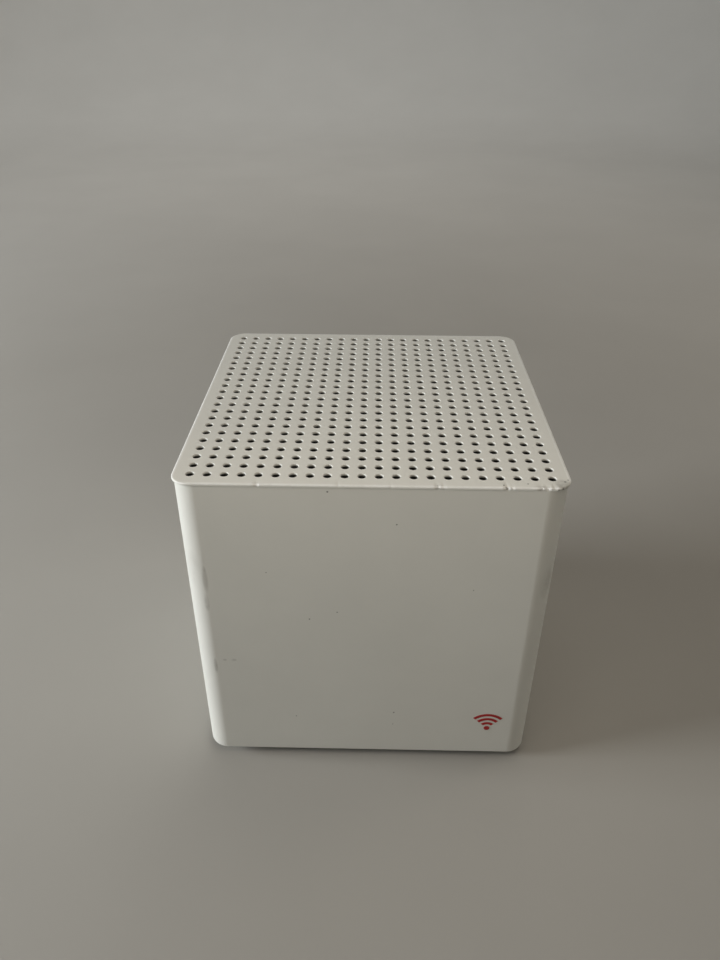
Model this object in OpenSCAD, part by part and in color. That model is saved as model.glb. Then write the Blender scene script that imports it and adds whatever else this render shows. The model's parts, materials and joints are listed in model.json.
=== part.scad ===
// Cube-shaped wireless network node: a white sleeve and perforated top cover over a
// caged main board, two heat sinks, four antennas and a flat fan, on a vented base.
// Millimetres. +Z is up, +Y is the side with the sockets, and the origin is on the
// table under the middle of the cube.

/* [Housing] */
// Width and depth of the cube, across the rim of the top cover
body_w = 139; // [138:0.5:142]
// Height from the table to the top face
body_h = 141.7; // [141.5:0.1:144]
// Radius of the upright corners of the top cover's rim
corner_r = 7; // [6:0.5:8]
// Radius of the upright corners of the sleeve
sleeve_r = 8.5; // [7.5:0.1:9]
// How far the rim of the top cover stands proud of the sleeve
rim_proud = 0.3; // [0.2:0.1:0.4]
// Wall thickness of the sleeve
wall_t = 2.2; // [2:0.1:2.4]
// Height of the sleeve's lower edge above the table
air_gap = 4; // [3.6:0.1:4.2]

/* [Vents] */
// Vent holes along each side of the top cover
vent_count = 22; // [12:1:22]
// Distance between neighbouring vent holes
vent_pitch = 6; // [5.5:0.1:6]
// Diameter of a vent hole
vent_d = 3; // [2.4:0.1:3.4]
// Radius of the round inlet field in the base
inlet_r = 35; // [24:1:36]

/* [Sockets] */
// Number of network sockets
lan_count = 3; // [3:1:3]
// Height of the lowest network socket's middle
lan_z = 53; // [52.5:0.1:53.5]
// Distance between the network sockets
lan_pitch = 17.5; // [17.2:0.1:17.6]
// Height of the power socket's middle
dc_z = 24.5; // [24.2:0.1:24.8]

/* [Controls] */
// Height of the power button's middle
power_z = 37; // [36.5:0.1:37.5]
// Height of the reset pinhole
reset_z = 101; // [100.8:0.1:101.4]
// Height of the pairing button's middle
pair_z = 112; // [111.6:0.1:112.4]

/* [Cooling] */
// Side length of the fan frame
fan_w = 80; // [79:1:81]
// Number of fan blades
blade_count = 7; // [5:1:7]
// Pitch angle of the fan blades
blade_pitch = 38; // [30:1:40]
// Number of fins on the main heat sink
fin_count = 13; // [9:1:14]

/* [Hidden] */
LAN_IDS = [for (i = [1 : lan_count]) i];
SIDES = ["left", "right", "front", "rear"];
$fn = 48;

// Housing
slack = 0.3;                                // gap between parts that slide together
cover_half = body_w / 2;
sleeve_half = cover_half - rim_proud;
inner_half = sleeve_half - wall_t;
inner_r = sleeve_r - wall_t;
rim_t = 1;                                  // height of the top cover's rim
cover_t = 2.4;                              // thickness of the top cover at the vents
sleeve_top = body_h - rim_t;
cover_under = body_h - cover_t;
rim_chamfer = 0.5;
clip_w = 10;
clip_t = 1.4;
clip_drop = 7.5;
clip_catch = 0.8;
catch_h = 2;

// Base
foot_h = 2.5;                               // clear height under the base
base_t = 2;                                 // thickness of each of the base's two steps
base_step = foot_h + base_t;
base_top = base_step + base_t;
base_half = cover_half - 6;
base_r = 5;
base_chamfer = 0.8;
foot_r = 8;
foot_socket = 0.8;
screw_r = 1.45;
hole_clear = 0.05;
sleeve_screw_xy = 59;
post_xy = 50;
boss_r = 4.5;
boss_h = 17.5;
head_r = 3;

// Chassis
tray_t = 2;
tray_top = base_top + tray_t;
post_w = 8;
post_top = 126;
ring_t = 3;
ring_half = post_xy + post_w / 2;
ring_inner = ring_half - 9;
mid_ring_z = 66;
bar_w = 8;

// Rear panel and its window
panel_t = 2;
panel_face = inner_half - slack;            // outer face of the panel
panel_back = panel_face - panel_t;
panel_half = ring_half;
panel_z = [9, post_top];
window_half = 20;
window_z = [18, 122];
window_r = 5;
panel_screw_z = [24, 116];

// Main board, upright, at right angles to the rear panel
board_t = 1.6;
board_face = -6.8;                          // side with the sockets
board_back = board_face - board_t;          // side with the processor
board_y = [-45, 64.2];
board_z = [27, 122];
tail_y = 43;
tail_z = 17;
board_screw_at = [[-41.5, 34], [-41.5, 116], [46.5, 22], [46.5, 116]];

// Cooling
pad_t = 1;
chip_t = 1.5;
sink_x = board_back - chip_t - pad_t;       // face of the main heat sink
sink_base = 3;
sink_y = [-36, 40];
sink_z = [32, 112];
fin_reach = 24;
fin_t = 1.6;
sink_screw_at = [[-32, 36], [36, 36], [-32, 108], [36, 108]];
can_t = 3;
can_size = [31, 28];
can_at = [[-18, 80], [18, 80]];
radio_x = board_face + can_t + pad_t;       // face of the radio heat sink
radio_base = 2.5;
radio_y = [-36, 38];
radio_z = [60, 100];
radio_reach = 12;
radio_fins = 12;
radio_screw_at = [[-33, 63], [35, 63], [-33, 97], [35, 97]];
processor_at = [2, 72];

// Fan, lying flat on the chassis tray
fan_z = tray_top;
fan_t = 15;
fan_bore = 38.2;
fan_hole_xy = 35.75;
fan_plate_t = 1.6;
hub_r = 16.5;
hub_z = [fan_z + 1.2, fan_z + 12.4];
hub_t = 1.5;
blade_r = 37.4;
shaft_r = 1.5;
bearing_r = 3;

// Network socket
jack_w = 15.4;
jack_h = 12.7;
shield_t = 0.4;
jack_y = [46, panel_face - 0.3];
plug_w = 11.9;
plug_h = 6.8;
plug_depth = 12.9;
contact_count = 8;
contact_pitch = 1.02;

// Power socket
dc_bore_r = 3.15;
dc_pin_r = 1;
dc_depth = 9.5;
dc_y = [50.5, 64.5];

// Light guide from the board's front edge to the front wall
guide_at = [-5.8, 106];
guide_r = 2.2;

// Antennas
antenna_t = 0.8;
antenna_w = 18;
antenna_z = [64, 126];
cable_r = 0.7;

PLASTIC_WHITE = "#e9e8e3";
PLASTIC_GREY = "#c9c9c5";
CARBON = "#26272a";
BOARD_GREEN = "#1f5a3c";
METAL = "#b9bcc0";
BRASS = "#d0a74a";
MARK_RED = "#b3161c";

// ---------------------------------------------------------------- shared shapes

// Box given by its lowest and highest corner.
module span(low, high) {
    translate(low) cube(high - low);
}

// Cylinder along +X, from x0 to x1, through y, z.
module rod_x(x0, x1, y, z, r) {
    translate([x0, y, z]) rotate([0, 90, 0]) cylinder(h = x1 - x0, r = r);
}

// Cylinder along +Y, from y0 to y1, through x, z.
module rod_y(y0, y1, x, z, r) {
    translate([x, y1, z]) rotate([90, 0, 0]) cylinder(h = y1 - y0, r = r);
}

// Square slab with rounded upright corners and a chamfered upper edge, standing on z = 0.
module slab(half, h, r, chamfer = 0) {
    side = half - r;
    edge = [[0, 0], [r, 0], [r, h - chamfer], [r - chamfer, h], [0, h]];
    translate([-side, -side, 0]) cube([2 * side, 2 * side, h]);
    for (a = [0 : 90 : 270]) rotate(a) {
        translate([side, side, 0]) rotate([90, 0, 0]) linear_extrude(2 * side) polygon(edge);
        translate([side, side, 0]) rotate_extrude(angle = 90, $fn = 96) polygon(edge);
    }
}

// Repeats its children at the four corners of a square.
module four_corners(xy) {
    for (x = [-xy, xy], y = [-xy, xy]) translate([x, y, 0]) children();
}

// Points of a square grid that is centred on the origin, within a radius.
function grid(count, pitch, reach = 1e6) = [
    for (i = [0 : count - 1], j = [0 : count - 1])
        let (x = (i - (count - 1) / 2) * pitch, y = (j - (count - 1) / 2) * pitch)
            if (norm([x, y]) <= reach) [x, y]
];

// Pan-head screw along +Z: the head is below z = 0 and the shank above it.
module screw(length, r = screw_r, head = head_r, head_t = 1.8) {
    difference() {
        translate([0, 0, -head_t]) cylinder(h = head_t, r = head);
        translate([0, 0, -head_t - 1]) cylinder(h = 1.9, r = 1.1, $fn = 6);
    }
    cylinder(h = length, r = r);
}

// ---------------------------------------------------------------- round leads

// Point of a smooth curve through the route, at 0 to 1 along span i.
function curve_point(route, i, t) =
    let (last = len(route) - 1,
         a = route[max(i - 1, 0)], b = route[i],
         c = route[min(i + 1, last)], d = route[min(i + 2, last)])
    0.5 * (2 * b + (c - a) * t + (2 * a - 5 * b + 4 * c - d) * t * t
           + (3 * b - a - 3 * c + d) * t * t * t);

// The whole curve, with a number of steps on each span.
function curve(route, steps) = concat(
    [for (i = [0 : len(route) - 2], s = [0 : steps - 1]) curve_point(route, i, s / steps)],
    [route[len(route) - 1]]
);

// Round tube along a route. No stretch of it may run along the direction aside.
module lead(route, r, aside, steps = 3, sides = 8) {
    path = curve(route, steps);
    last = len(path) - 1;
    rings = [
        for (i = [0 : last])
            let (along = path[min(i + 1, last)] - path[max(i - 1, 0)],
                 u = cross(along, aside) / norm(cross(along, aside)),
                 v = cross(along, u) / norm(along))
            for (k = [0 : sides - 1])
                path[i] + r * (u * cos(k * 360 / sides) + v * sin(k * 360 / sides))
    ];
    walls = [
        for (i = [0 : last - 1], k = [0 : sides - 1])
            let (a = i * sides + k, b = i * sides + (k + 1) % sides)
            for (f = [[a, a + sides, b + sides], [a, b + sides, b]]) f
    ];
    start_cap = [for (k = [0 : sides - 1]) k];
    end_cap = [for (k = [sides - 1 : -1 : 0]) last * sides + k];
    polyhedron(rings, concat(walls, [start_cap, end_cap]));
}

// ---------------------------------------------------------------- housing

module sleeve() color(PLASTIC_WHITE) {
    rib_reach = 3;
    rib_t = 1.2;
    rib_y = 30;
    difference() {
        translate([0, 0, air_gap]) slab(sleeve_half, sleeve_top - air_gap, sleeve_r);
        translate([0, 0, air_gap - 1]) slab(inner_half, body_h, inner_r);
        rear_window();
        for (a = [0 : 90 : 270]) rotate(a) {
            span([inner_half - 1, -clip_w / 2 - 1, cover_under - clip_drop - 0.3],
                 [inner_half + 0.9, clip_w / 2 + 1, cover_under - clip_drop + 2.7]);
        }
    }
    for (a = [0 : 90 : 270]) rotate(a) corner_boss();
    for (x = [-1, 1], y = [-rib_y, rib_y]) {
        translate([x * (inner_half - rib_reach / 2 + 0.1), y, 80])
            cube([rib_reach + 0.2, rib_t, 100], center = true);
    }
}

// Screw boss in a lower corner of the sleeve, with webs to both walls.
module corner_boss() {
    reach = inner_half + 0.1;
    difference() {
        union() {
            translate([sleeve_screw_xy, sleeve_screw_xy, base_top]) cylinder(h = boss_h, r = boss_r);
            span([sleeve_screw_xy, sleeve_screw_xy - 1, base_top],
                 [reach, sleeve_screw_xy + 1, base_top + boss_h]);
            span([sleeve_screw_xy - 1, sleeve_screw_xy, base_top],
                 [sleeve_screw_xy + 1, reach, base_top + boss_h]);
        }
        translate([sleeve_screw_xy, sleeve_screw_xy, base_top - 1])
            cylinder(h = boss_h - 2, r = screw_r + hole_clear);
    }
}

// Rounded opening through the rear wall, in front of the socket panel.
module rear_window() {
    side_x = window_half - window_r;
    low = window_z[0] + window_r;
    high = window_z[1] - window_r;
    y = [inner_half - 1, sleeve_half + 1];
    span([-window_half, y[0], low], [window_half, y[1], high]);
    span([-side_x, y[0], window_z[0]], [side_x, y[1], window_z[1]]);
    for (x = [-side_x, side_x], z = [low, high]) rod_y(y[0], y[1], x, z, window_r);
}

module top_cover() color(PLASTIC_WHITE) {
    drop_half = inner_half - 0.2;
    difference() {
        union() {
            translate([0, 0, sleeve_top]) slab(cover_half, rim_t, corner_r, rim_chamfer);
            translate([0, 0, cover_under]) slab(drop_half, cover_t - rim_t + 0.5, inner_r - 0.2);
        }
        for (p = grid(vent_count, vent_pitch)) {
            translate([p.x, p.y, cover_under - 1]) cylinder(h = cover_t + 2, r = vent_d / 2, $fn = 24);
        }
    }
    // snap clips, one on each side
    for (a = [0 : 90 : 270]) rotate(a) {
        span([drop_half - clip_t, -clip_w / 2, cover_under - clip_drop],
             [drop_half, clip_w / 2, cover_under + 0.2]);
        span([drop_half - 0.2, -clip_w / 2, cover_under - clip_drop + 0.2],
             [drop_half + clip_catch, clip_w / 2, cover_under - clip_drop + 0.2 + catch_h]);
    }
}

// Printed mark low on the right of the front: a dot under three arcs.
module front_mark() color(MARK_RED) {
    mark_at = [51, 19.6];
    ink = 0.1;
    stroke = 1.3;
    translate([mark_at.x, -sleeve_half, mark_at.y]) rotate([90, 0, 0]) linear_extrude(ink) {
        circle(r = 1.2);
        for (r = [3.7, 6.2, 8.7]) intersection() {
            difference() {
                circle(r = r);
                circle(r = r - stroke);
            }
            polygon([[0, 0], [10, 10], [0, 20], [-10, 10]]);
        }
    }
}

// ---------------------------------------------------------------- base

module base_plate() color(PLASTIC_GREY) {
    inlet_count = 12;
    difference() {
        union() {
            translate([0, 0, base_step]) slab(inner_half - slack, base_t, inner_r - slack);
            translate([0, 0, base_step]) mirror([0, 0, 1]) slab(base_half, base_t, base_r, base_chamfer);
        }
        for (p = grid(inlet_count, vent_pitch, inlet_r)) {
            translate([p.x, p.y, 0]) cylinder(h = base_top + 1, r = vent_d / 2, $fn = 24);
        }
        four_corners(sleeve_screw_xy) {
            cylinder(h = base_top + 1, r = screw_r + 0.25);
            cylinder(h = base_step - 0.2, r = head_r + 0.3);
        }
        four_corners(post_xy) {
            cylinder(h = base_top + 1, r = screw_r + 0.25);
            cylinder(h = base_step + 0.4, r = head_r + 0.3);
            cylinder(h = foot_h + foot_socket, r = foot_r + 0.2);
        }
    }
}

module rubber_feet() color(CARBON) {
    bevel = 0.6;
    four_corners(post_xy) {
        cylinder(h = bevel, r1 = foot_r - bevel, r2 = foot_r);
        translate([0, 0, bevel]) cylinder(h = foot_h + foot_socket - bevel, r = foot_r);
    }
}

module base_screws() color(METAL) {
    four_corners(sleeve_screw_xy) translate([0, 0, base_step - 0.2]) screw(14);
}

module rating_label() color("white") {
    label_t = 0.15;
    span([-24, 40, foot_h - label_t], [24, 60, foot_h]);
}

// ---------------------------------------------------------------- chassis

module chassis() color(PLASTIC_GREY) {
    difference() {
        union() {
            span([-59, -post_xy, base_top], [59, post_xy, tray_top]);
            span([-post_xy, -59, base_top], [post_xy, 59, tray_top]);
            four_corners(post_xy) {
                translate([-post_w / 2, -post_w / 2, base_top]) cube([post_w, post_w, post_top - base_top]);
            }
            top_ring();
            mid_bars();
            board_ribs();
        }
        translate([0, 0, base_top - 1]) cylinder(h = tray_t + 2, r = fan_bore);
        four_corners(fan_hole_xy) translate([0, 0, base_top - 1]) cylinder(h = 4, r = 1.9);
        four_corners(post_xy) translate([0, 0, base_top - 1]) cylinder(h = 13, r = screw_r + hole_clear);
        for (x = [-post_xy, post_xy], z = panel_screw_z) {
            rod_y(post_xy - 5, post_xy + 5, x, z, 1.6);
        }
        for (p = board_screw_at) rod_x(board_back - 5, board_back + 1, p.x, p.y, 1.3);
        rod_y(-ring_half - 1, -ring_half + 3, guide_at.x, guide_at.y, guide_r + 0.1);
    }
}

module top_ring() {
    difference() {
        span([-ring_half, -ring_half, post_top - ring_t], [ring_half, ring_half, post_top]);
        span([-ring_inner, -ring_inner, post_top - ring_t - 1], [ring_inner, ring_inner, post_top + 1]);
    }
}

// Bars between the posts at half height. The rear one leaves room for the sockets.
module mid_bars() {
    z = [mid_ring_z, mid_ring_z + ring_t];
    for (side = [-1, 1]) {
        translate([side * post_xy, 0, mid_ring_z + ring_t / 2])
            cube([bar_w, 2 * post_xy, ring_t], center = true);
    }
    span([-post_xy, -ring_half, z[0]], [post_xy, -ring_half + bar_w, z[1]]);
    span([13, ring_half - bar_w, z[0]], [post_xy, ring_half, z[1]]);
    span([-post_xy, ring_half - bar_w, z[0]], [-18, ring_half, z[1]]);
}

// Ribs that the board is screwed to, and the tab that holds the light guide.
module board_ribs() {
    rib_x = [board_back - 4, board_back];
    span([rib_x[0], -ring_half, tray_top - 0.1], [rib_x[1], -fan_w / 2 - 0.5, 25]);
    span([rib_x[0], -ring_half, 24.5], [rib_x[1], -38, 40]);
    span([rib_x[0], 42, tray_top - 0.1], [rib_x[1], ring_half, 27]);
    span([rib_x[0], -ring_half, 110], [rib_x[1], -38, post_top - 0.1]);
    span([rib_x[0], 42, 110], [rib_x[1], ring_half, post_top - 0.1]);
    span([-13, -ring_half, 100], [0, -ring_half + 2, post_top - 0.1]);
}

module chassis_screws() color(METAL) {
    four_corners(post_xy) translate([0, 0, base_step + 0.4]) screw(13, head_t = 1.5);
}

// ---------------------------------------------------------------- rear panel

module rear_panel() color(PLASTIC_GREY) {
    difference() {
        union() {
            span([-panel_half, panel_back, panel_z[0]], [panel_half, panel_face, panel_z[1]]);
            for (x = [-post_xy, post_xy], z = panel_screw_z) {
                rod_y(ring_half, panel_back + 0.5, x, z, 4);
            }
        }
        for (x = [-post_xy, post_xy], z = panel_screw_z) {
            rod_y(ring_half - 1, panel_back - 1.7, x, z, 1.3);
        }
        for (i = [0 : lan_count - 1]) {
            z = lan_z + i * lan_pitch;
            span([-jack_h / 2 - shield_t - 0.2, panel_back - 1, z - jack_w / 2 - shield_t - 0.2],
                 [jack_h / 2 + shield_t + 0.2, panel_face + 1, z + jack_w / 2 + shield_t + 0.2]);
        }
        panel_hole(dc_z, 4.4);
        panel_hole(power_z, 4.25);
        panel_hole(pair_z, 3.75);
        panel_hole(reset_z, 1);
    }
}

module panel_hole(z, r) {
    rod_y(panel_back - 1, panel_face + 1, 0, z, r);
}

module panel_screws() color(METAL) {
    for (x = [-post_xy, post_xy], z = panel_screw_z) {
        translate([x, post_xy - post_w / 2, z]) rotate([-90, 0, 0]) screw(16, 1.25, 2.8, 2);
    }
}

// Printed marks beside the sockets and buttons, as flat shapes on the panel.
module panel_marks() color("dimgray") {
    ink = 0.08;
    translate([0, panel_face + ink, 0]) rotate([90, 0, 0]) linear_extrude(ink) {
        // one dot, two dots and three dots beside the network sockets
        for (i = [0 : lan_count - 1], k = [0 : i]) {
            translate([12.5, lan_z + i * lan_pitch + (k - i / 2) * 2.6]) circle(r = 0.75);
        }
        // direct current: one long bar over three short ones
        translate([12.5, dc_z]) {
            translate([-2.4, 0.6]) square([4.8, 0.6]);
            for (k = [0 : 2]) translate([-2.4 + k * 1.8, -0.9]) square([1.2, 0.6]);
        }
        // power: a ring that is open at the top, with a bar in the gap
        translate([12.5, power_z]) {
            open_ring(2.2, 0.55, 90);
            translate([-0.28, 0.6]) square([0.56, 2.2]);
        }
        // pairing: two open rings that face each other
        translate([12.5, pair_z]) {
            translate([-1.2, 0]) open_ring(1.8, 0.5, 180);
            translate([1.2, 0]) open_ring(1.8, 0.5, 0);
        }
        // reset: an open ring with an arrow head
        translate([12.5, reset_z]) {
            open_ring(2, 0.5, 45);
            translate([1.55, 0.75]) rotate(20) polygon([[-1.1, 0], [1.1, 0], [0, 1.6]]);
        }
    }
}

// Flat ring with a quarter left out, in the direction given in degrees.
module open_ring(r, stroke, gap_towards) {
    difference() {
        circle(r = r);
        circle(r = r - stroke);
        rotate(gap_towards - 45) square(r + 1);
    }
}

// ---------------------------------------------------------------- main board

module main_board() color(BOARD_GREEN) {
    difference() {
        union() {
            span([board_back, board_y[0], board_z[0]], [board_face, board_y[1], board_z[1]]);
            span([board_back, tail_y, tail_z], [board_face, board_y[1], board_z[0] + 1]);
        }
        for (p = concat(board_screw_at, sink_screw_at, radio_screw_at)) {
            rod_x(board_back - 1, board_face + 1, p.x, p.y, 1.5);
        }
    }
}

module board_screws() color(METAL) {
    for (p = board_screw_at) {
        translate([board_face, p.x, p.y]) rotate([0, -90, 0]) screw(5, 1.25, 2.5);
    }
}

// Flat package on the board, on the processor side (side = -1) or the socket side (1).
module package(at, size, t, side) {
    x = side > 0 ? board_face : board_back - t;
    span([x, at.x - size.x / 2, at.y - size.y / 2], [x + t, at.x + size.x / 2, at.y + size.y / 2]);
}

module processor() color(CARBON) package(processor_at, [23, 23], chip_t, -1);

module memory_chips() color(CARBON) {
    for (y = [-22, 24]) package([y, 72], [11, 13], 1.1, -1);
    package([2, 96], [12, 10], 1.1, -1);
}

module shield_cans() color(METAL) {
    for (p = can_at) difference() {
        package(p, can_size, can_t, 1);
        span([board_face - 1, p.x - can_size.x / 2 + 0.3, p.y - can_size.y / 2 + 0.3],
             [board_face + can_t - 0.3, p.x + can_size.x / 2 - 0.3, p.y + can_size.y / 2 - 0.3]);
    }
}

// Three upright capacitors and three coils of the board's power supply.
module power_parts() color(CARBON) {
    for (y = [-22, -12, -2]) {
        rod_x(board_face, board_face + 9, y, 40, 4);
        package([y - 3, 52], [8, 8], 4, 1);
    }
}

module coax_sockets() color(BRASS) {
    for (p = coax_at) {
        package(p, [2.6, 2.6], 0.5, 1);
        rod_x(board_face, board_face + 1.2, p.x, p.y, 1);
    }
}

module processor_pad() color("lightslategray") {
    x = board_back - chip_t - pad_t;
    span([x, processor_at.x - 11, processor_at.y - 11], [x + pad_t, processor_at.x + 11, processor_at.y + 11]);
}

module radio_pads() color("lightslategray") {
    x = board_face + can_t;
    for (p = can_at) span([x, p.x - 13, p.y - 11], [x + pad_t, p.x + 13, p.y + 11]);
}

// Light source on the board's front edge, facing the light guide.
module status_led() color("white") {
    span([board_face, board_y[0] - 1, guide_at.y - 1.5], [board_face + 2, board_y[0] + 1.5, guide_at.y + 1.5]);
}

module light_guide() color("lightcyan") {
    rod_y(-inner_half + slack, board_y[0] - 1.3, guide_at.x, guide_at.y, guide_r);
    rod_y(-ring_half + 2, -ring_half + 3.5, guide_at.x, guide_at.y, guide_r + 0.9);
}

// ---------------------------------------------------------------- heat sinks

// Finned block: a plate in the YZ plane with upright fins on the side given by its sign.
module finned_block(face, base_t, y, z, reach, count, side) {
    back = face + side * base_t;
    tip = back + side * reach;
    step = (y[1] - y[0] - fin_t) / (count - 1);
    span([min(face, back), y[0], z[0]], [max(face, back), y[1], z[1]]);
    for (i = [0 : count - 1]) {
        span([min(back - side * 0.1, tip), y[0] + i * step, z[0]],
             [max(back - side * 0.1, tip), y[0] + i * step + fin_t, z[1]]);
    }
}

module heat_sink() color(CARBON) {
    difference() {
        union() {
            finned_block(sink_x, sink_base, sink_y, sink_z, fin_reach, fin_count, -1);
            for (p = sink_screw_at) rod_x(sink_x - 0.1, board_back, p.x, p.y, 3);
        }
        for (p = sink_screw_at) rod_x(sink_x - 2.5, board_back + 1, p.x, p.y, 1.3);
    }
}

module radio_heat_sink() color(CARBON) {
    difference() {
        union() {
            finned_block(radio_x, radio_base, radio_y, radio_z, radio_reach, radio_fins, 1);
            for (p = radio_screw_at) rod_x(board_face, radio_x + 0.1, p.x, p.y, 2.5);
        }
        for (p = radio_screw_at) rod_x(board_face - 1, radio_x + 2, p.x, p.y, 1.3);
    }
}

module heat_sink_screws() color(METAL) {
    for (p = sink_screw_at) {
        translate([board_face, p.x, p.y]) rotate([0, -90, 0]) screw(6, 1.25, 2.5);
    }
    for (p = radio_screw_at) {
        translate([board_back, p.x, p.y]) rotate([0, 90, 0]) screw(7, 1.25, 2.5, 1.6);
    }
}

// ---------------------------------------------------------------- sockets

module lan_shield(i) color(METAL) {
    z = lan_z + (i - 1) * lan_pitch;
    half_h = jack_h / 2 + shield_t - 0.02;
    half_w = jack_w / 2 + shield_t;
    difference() {
        span([-half_h, jack_y[0] - shield_t, z - half_w], [half_h, panel_face, z + half_w]);
        span([-jack_h / 2, jack_y[0], z - jack_w / 2], [jack_h / 2, jack_y[1], z + jack_w / 2]);
        plug_space(z, panel_face + 1);
    }
}

module lan_jack(i) color(CARBON) {
    z = lan_z + (i - 1) * lan_pitch;
    difference() {
        span([-jack_h / 2, jack_y[0], z - jack_w / 2], [jack_h / 2, jack_y[1], z + jack_w / 2]);
        plug_space(z, jack_y[1] + 1);
        span([-5.4, jack_y[1] - 14.5, z - 4.4], [-3, jack_y[1] - 2, z + 4.4]);
    }
}

// Space for the plug and its latch, open towards +Y.
module plug_space(z, mouth) {
    bottom = jack_y[1] - plug_depth;
    span([-plug_h / 2, bottom, z - plug_w / 2], [plug_h / 2, mouth, z + plug_w / 2]);
    span([plug_h / 2 - 0.1, bottom + 2, z - 3.1], [plug_h / 2 + 1.5, mouth, z + 3.1]);
}

module lan_contacts() color(BRASS) {
    for (i = [0 : lan_count - 1], k = [0 : contact_count - 1]) {
        z = lan_z + i * lan_pitch + (k - (contact_count - 1) / 2) * contact_pitch;
        translate([-4.4, jack_y[1] - 8, z]) rotate([0, 0, 5]) cube([0.35, 11, 0.4], center = true);
    }
}

module dc_jack() color(CARBON) {
    difference() {
        union() {
            span([board_face + 0.05, dc_y[0], dc_z - 4.75], [5.5, dc_y[1], dc_z + 4.75]);
            rod_y(dc_y[1] - 0.1, panel_face, 0, dc_z, 4.2);
        }
        rod_y(panel_face - dc_depth, panel_face + 1, 0, dc_z, dc_bore_r);
        rod_y(dc_y[0] + 1.5, panel_face, 0, dc_z, dc_pin_r + 0.3);
    }
}

module dc_pin() color(METAL) {
    root = panel_face - dc_depth;
    rod_y(dc_y[0] + 1.5, root, 0, dc_z, dc_pin_r + 0.3);
    rod_y(root - 0.1, panel_face - 1.3, 0, dc_z, dc_pin_r);
    translate([0, panel_face - 1.3, dc_z]) rotate([-90, 0, 0])
        cylinder(h = 0.4, r1 = dc_pin_r, r2 = dc_pin_r - 0.4);
}

// ---------------------------------------------------------------- buttons

// Switch body on the board, with a bore for the button's stem.
module switch_body(z, half, y, stem_r) {
    difference() {
        span([board_face + 0.05, y[0], z - half], [3.4, y[1], z + half]);
        rod_y(y[0] + 1, y[1] + 1, 0, z, stem_r + 0.1);
    }
}

// Button with a cap that fills its hole in the panel, a flange behind the panel and a stem.
module button(z, cap_r, cap_end, stem_r, stem_start) {
    flange = [panel_back - 1.5, panel_back - 0.1];
    rod_y(flange[0], panel_face + cap_end, 0, z, cap_r);
    rod_y(flange[0], flange[1], 0, z, cap_r + 0.7);
    rod_y(stem_start, flange[0] + 0.1, 0, z, stem_r);
}

module power_switch() color(CARBON) switch_body(power_z, 4.1, [52, 59], 1.6);
module pair_switch() color(CARBON) switch_body(pair_z, 3.2, [53.5, 59.5], 1.2);
module reset_switch() color(CARBON) switch_body(reset_z, 3.2, [53.5, 59.5], 0.9);
module power_button() color(PLASTIC_WHITE) button(power_z, 4, 1, 1.6, 56);
module pair_button() color(PLASTIC_WHITE) button(pair_z, 3.5, 0.7, 1.2, 56.5);

// The reset rod stays behind the panel, where a pin reaches it through the pinhole.
module reset_button() color(PLASTIC_GREY) {
    rod_y(panel_back - 3, panel_back - 0.2, 0, reset_z, 1.7);
    rod_y(56.5, panel_back - 2.9, 0, reset_z, 0.9);
}

// ---------------------------------------------------------------- fan

module fan_frame() color(CARBON) {
    plate_z = fan_z + fan_t - fan_plate_t;
    difference() {
        translate([0, 0, fan_z]) slab(fan_w / 2, fan_t, 5);
        translate([0, 0, fan_z - 1]) cylinder(h = fan_t + 2, r = fan_bore, $fn = 96);
        four_corners(fan_hole_xy) translate([0, 0, fan_z - 1]) cylinder(h = fan_t + 2, r = 2.15);
    }
    // motor plate, its struts and the tube that holds the bearing
    difference() {
        union() {
            translate([0, 0, plate_z]) cylinder(h = fan_plate_t, r = 16);
            for (a = [45 : 90 : 315]) rotate(a) span([0, -2, plate_z], [fan_bore + 1, 2, fan_z + fan_t]);
            translate([0, 0, fan_z + 4]) cylinder(h = plate_z - fan_z - 3.9, r = 4.2);
        }
        translate([0, 0, fan_z + 3]) cylinder(h = plate_z - fan_z - 3, r = bearing_r);
    }
}

module fan_rotor() color(CARBON) {
    mid = (hub_z[0] + hub_z[1]) / 2;
    difference() {
        union() {
            difference() {
                translate([0, 0, hub_z[0]]) cylinder(h = hub_z[1] - hub_z[0], r = hub_r);
                translate([0, 0, hub_z[0] + hub_t]) cylinder(h = hub_z[1], r = hub_r - hub_t);
            }
            translate([0, 0, hub_z[0] + 1]) cylinder(h = 1.5, r = 3);
            for (i = [0 : blade_count - 1]) rotate(i * 360 / blade_count) blade(mid);
        }
        translate([0, 0, hub_z[0] + 0.7]) cylinder(h = 5, r = shaft_r);
    }
}

// One flat blade, cut to the ring between the hub and the blade tips.
module blade(mid) {
    intersection() {
        translate([0, 0, fan_z]) difference() {
            cylinder(h = fan_t, r = blade_r, $fn = 96);
            translate([0, 0, -1]) cylinder(h = fan_t + 2, r = hub_r - 0.5);
        }
        translate([27, 0, mid]) rotate([blade_pitch, 0, 0]) cube([30, 15.4, 1.2], center = true);
    }
}

module tube(z, h, outer, inner) {
    translate([0, 0, z]) difference() {
        cylinder(h = h, r = outer);
        translate([0, 0, -1]) cylinder(h = h + 2, r = inner);
    }
}

module fan_magnet() color("dimgray") tube(fan_z + 3.5, 8, hub_r - hub_t, hub_r - hub_t - 1.6);
module fan_bearing() color(BRASS) tube(fan_z + 4.4, 8.6, bearing_r, shaft_r + 0.03);

module fan_shaft() color(METAL) {
    translate([0, 0, hub_z[0] + 0.7]) cylinder(h = fan_z + 12.5 - hub_z[0] - 0.7, r = shaft_r);
}

// Motor stator: a core on the bearing tube, with four wound poles.
module fan_stator() color("peru") {
    tube(fan_z + 5, 6, 7, 4.2);
    for (a = [45 : 90 : 315]) rotate(a) {
        span([5, -2.4, fan_z + 5.4], [10.5, 2.4, fan_z + 10.6]);
        intersection() {
            tube(fan_z + 5.8, 4.4, 12.6, 10.4);
            span([0, -6, fan_z], [14, 6, fan_z + fan_t]);
        }
    }
}

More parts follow.
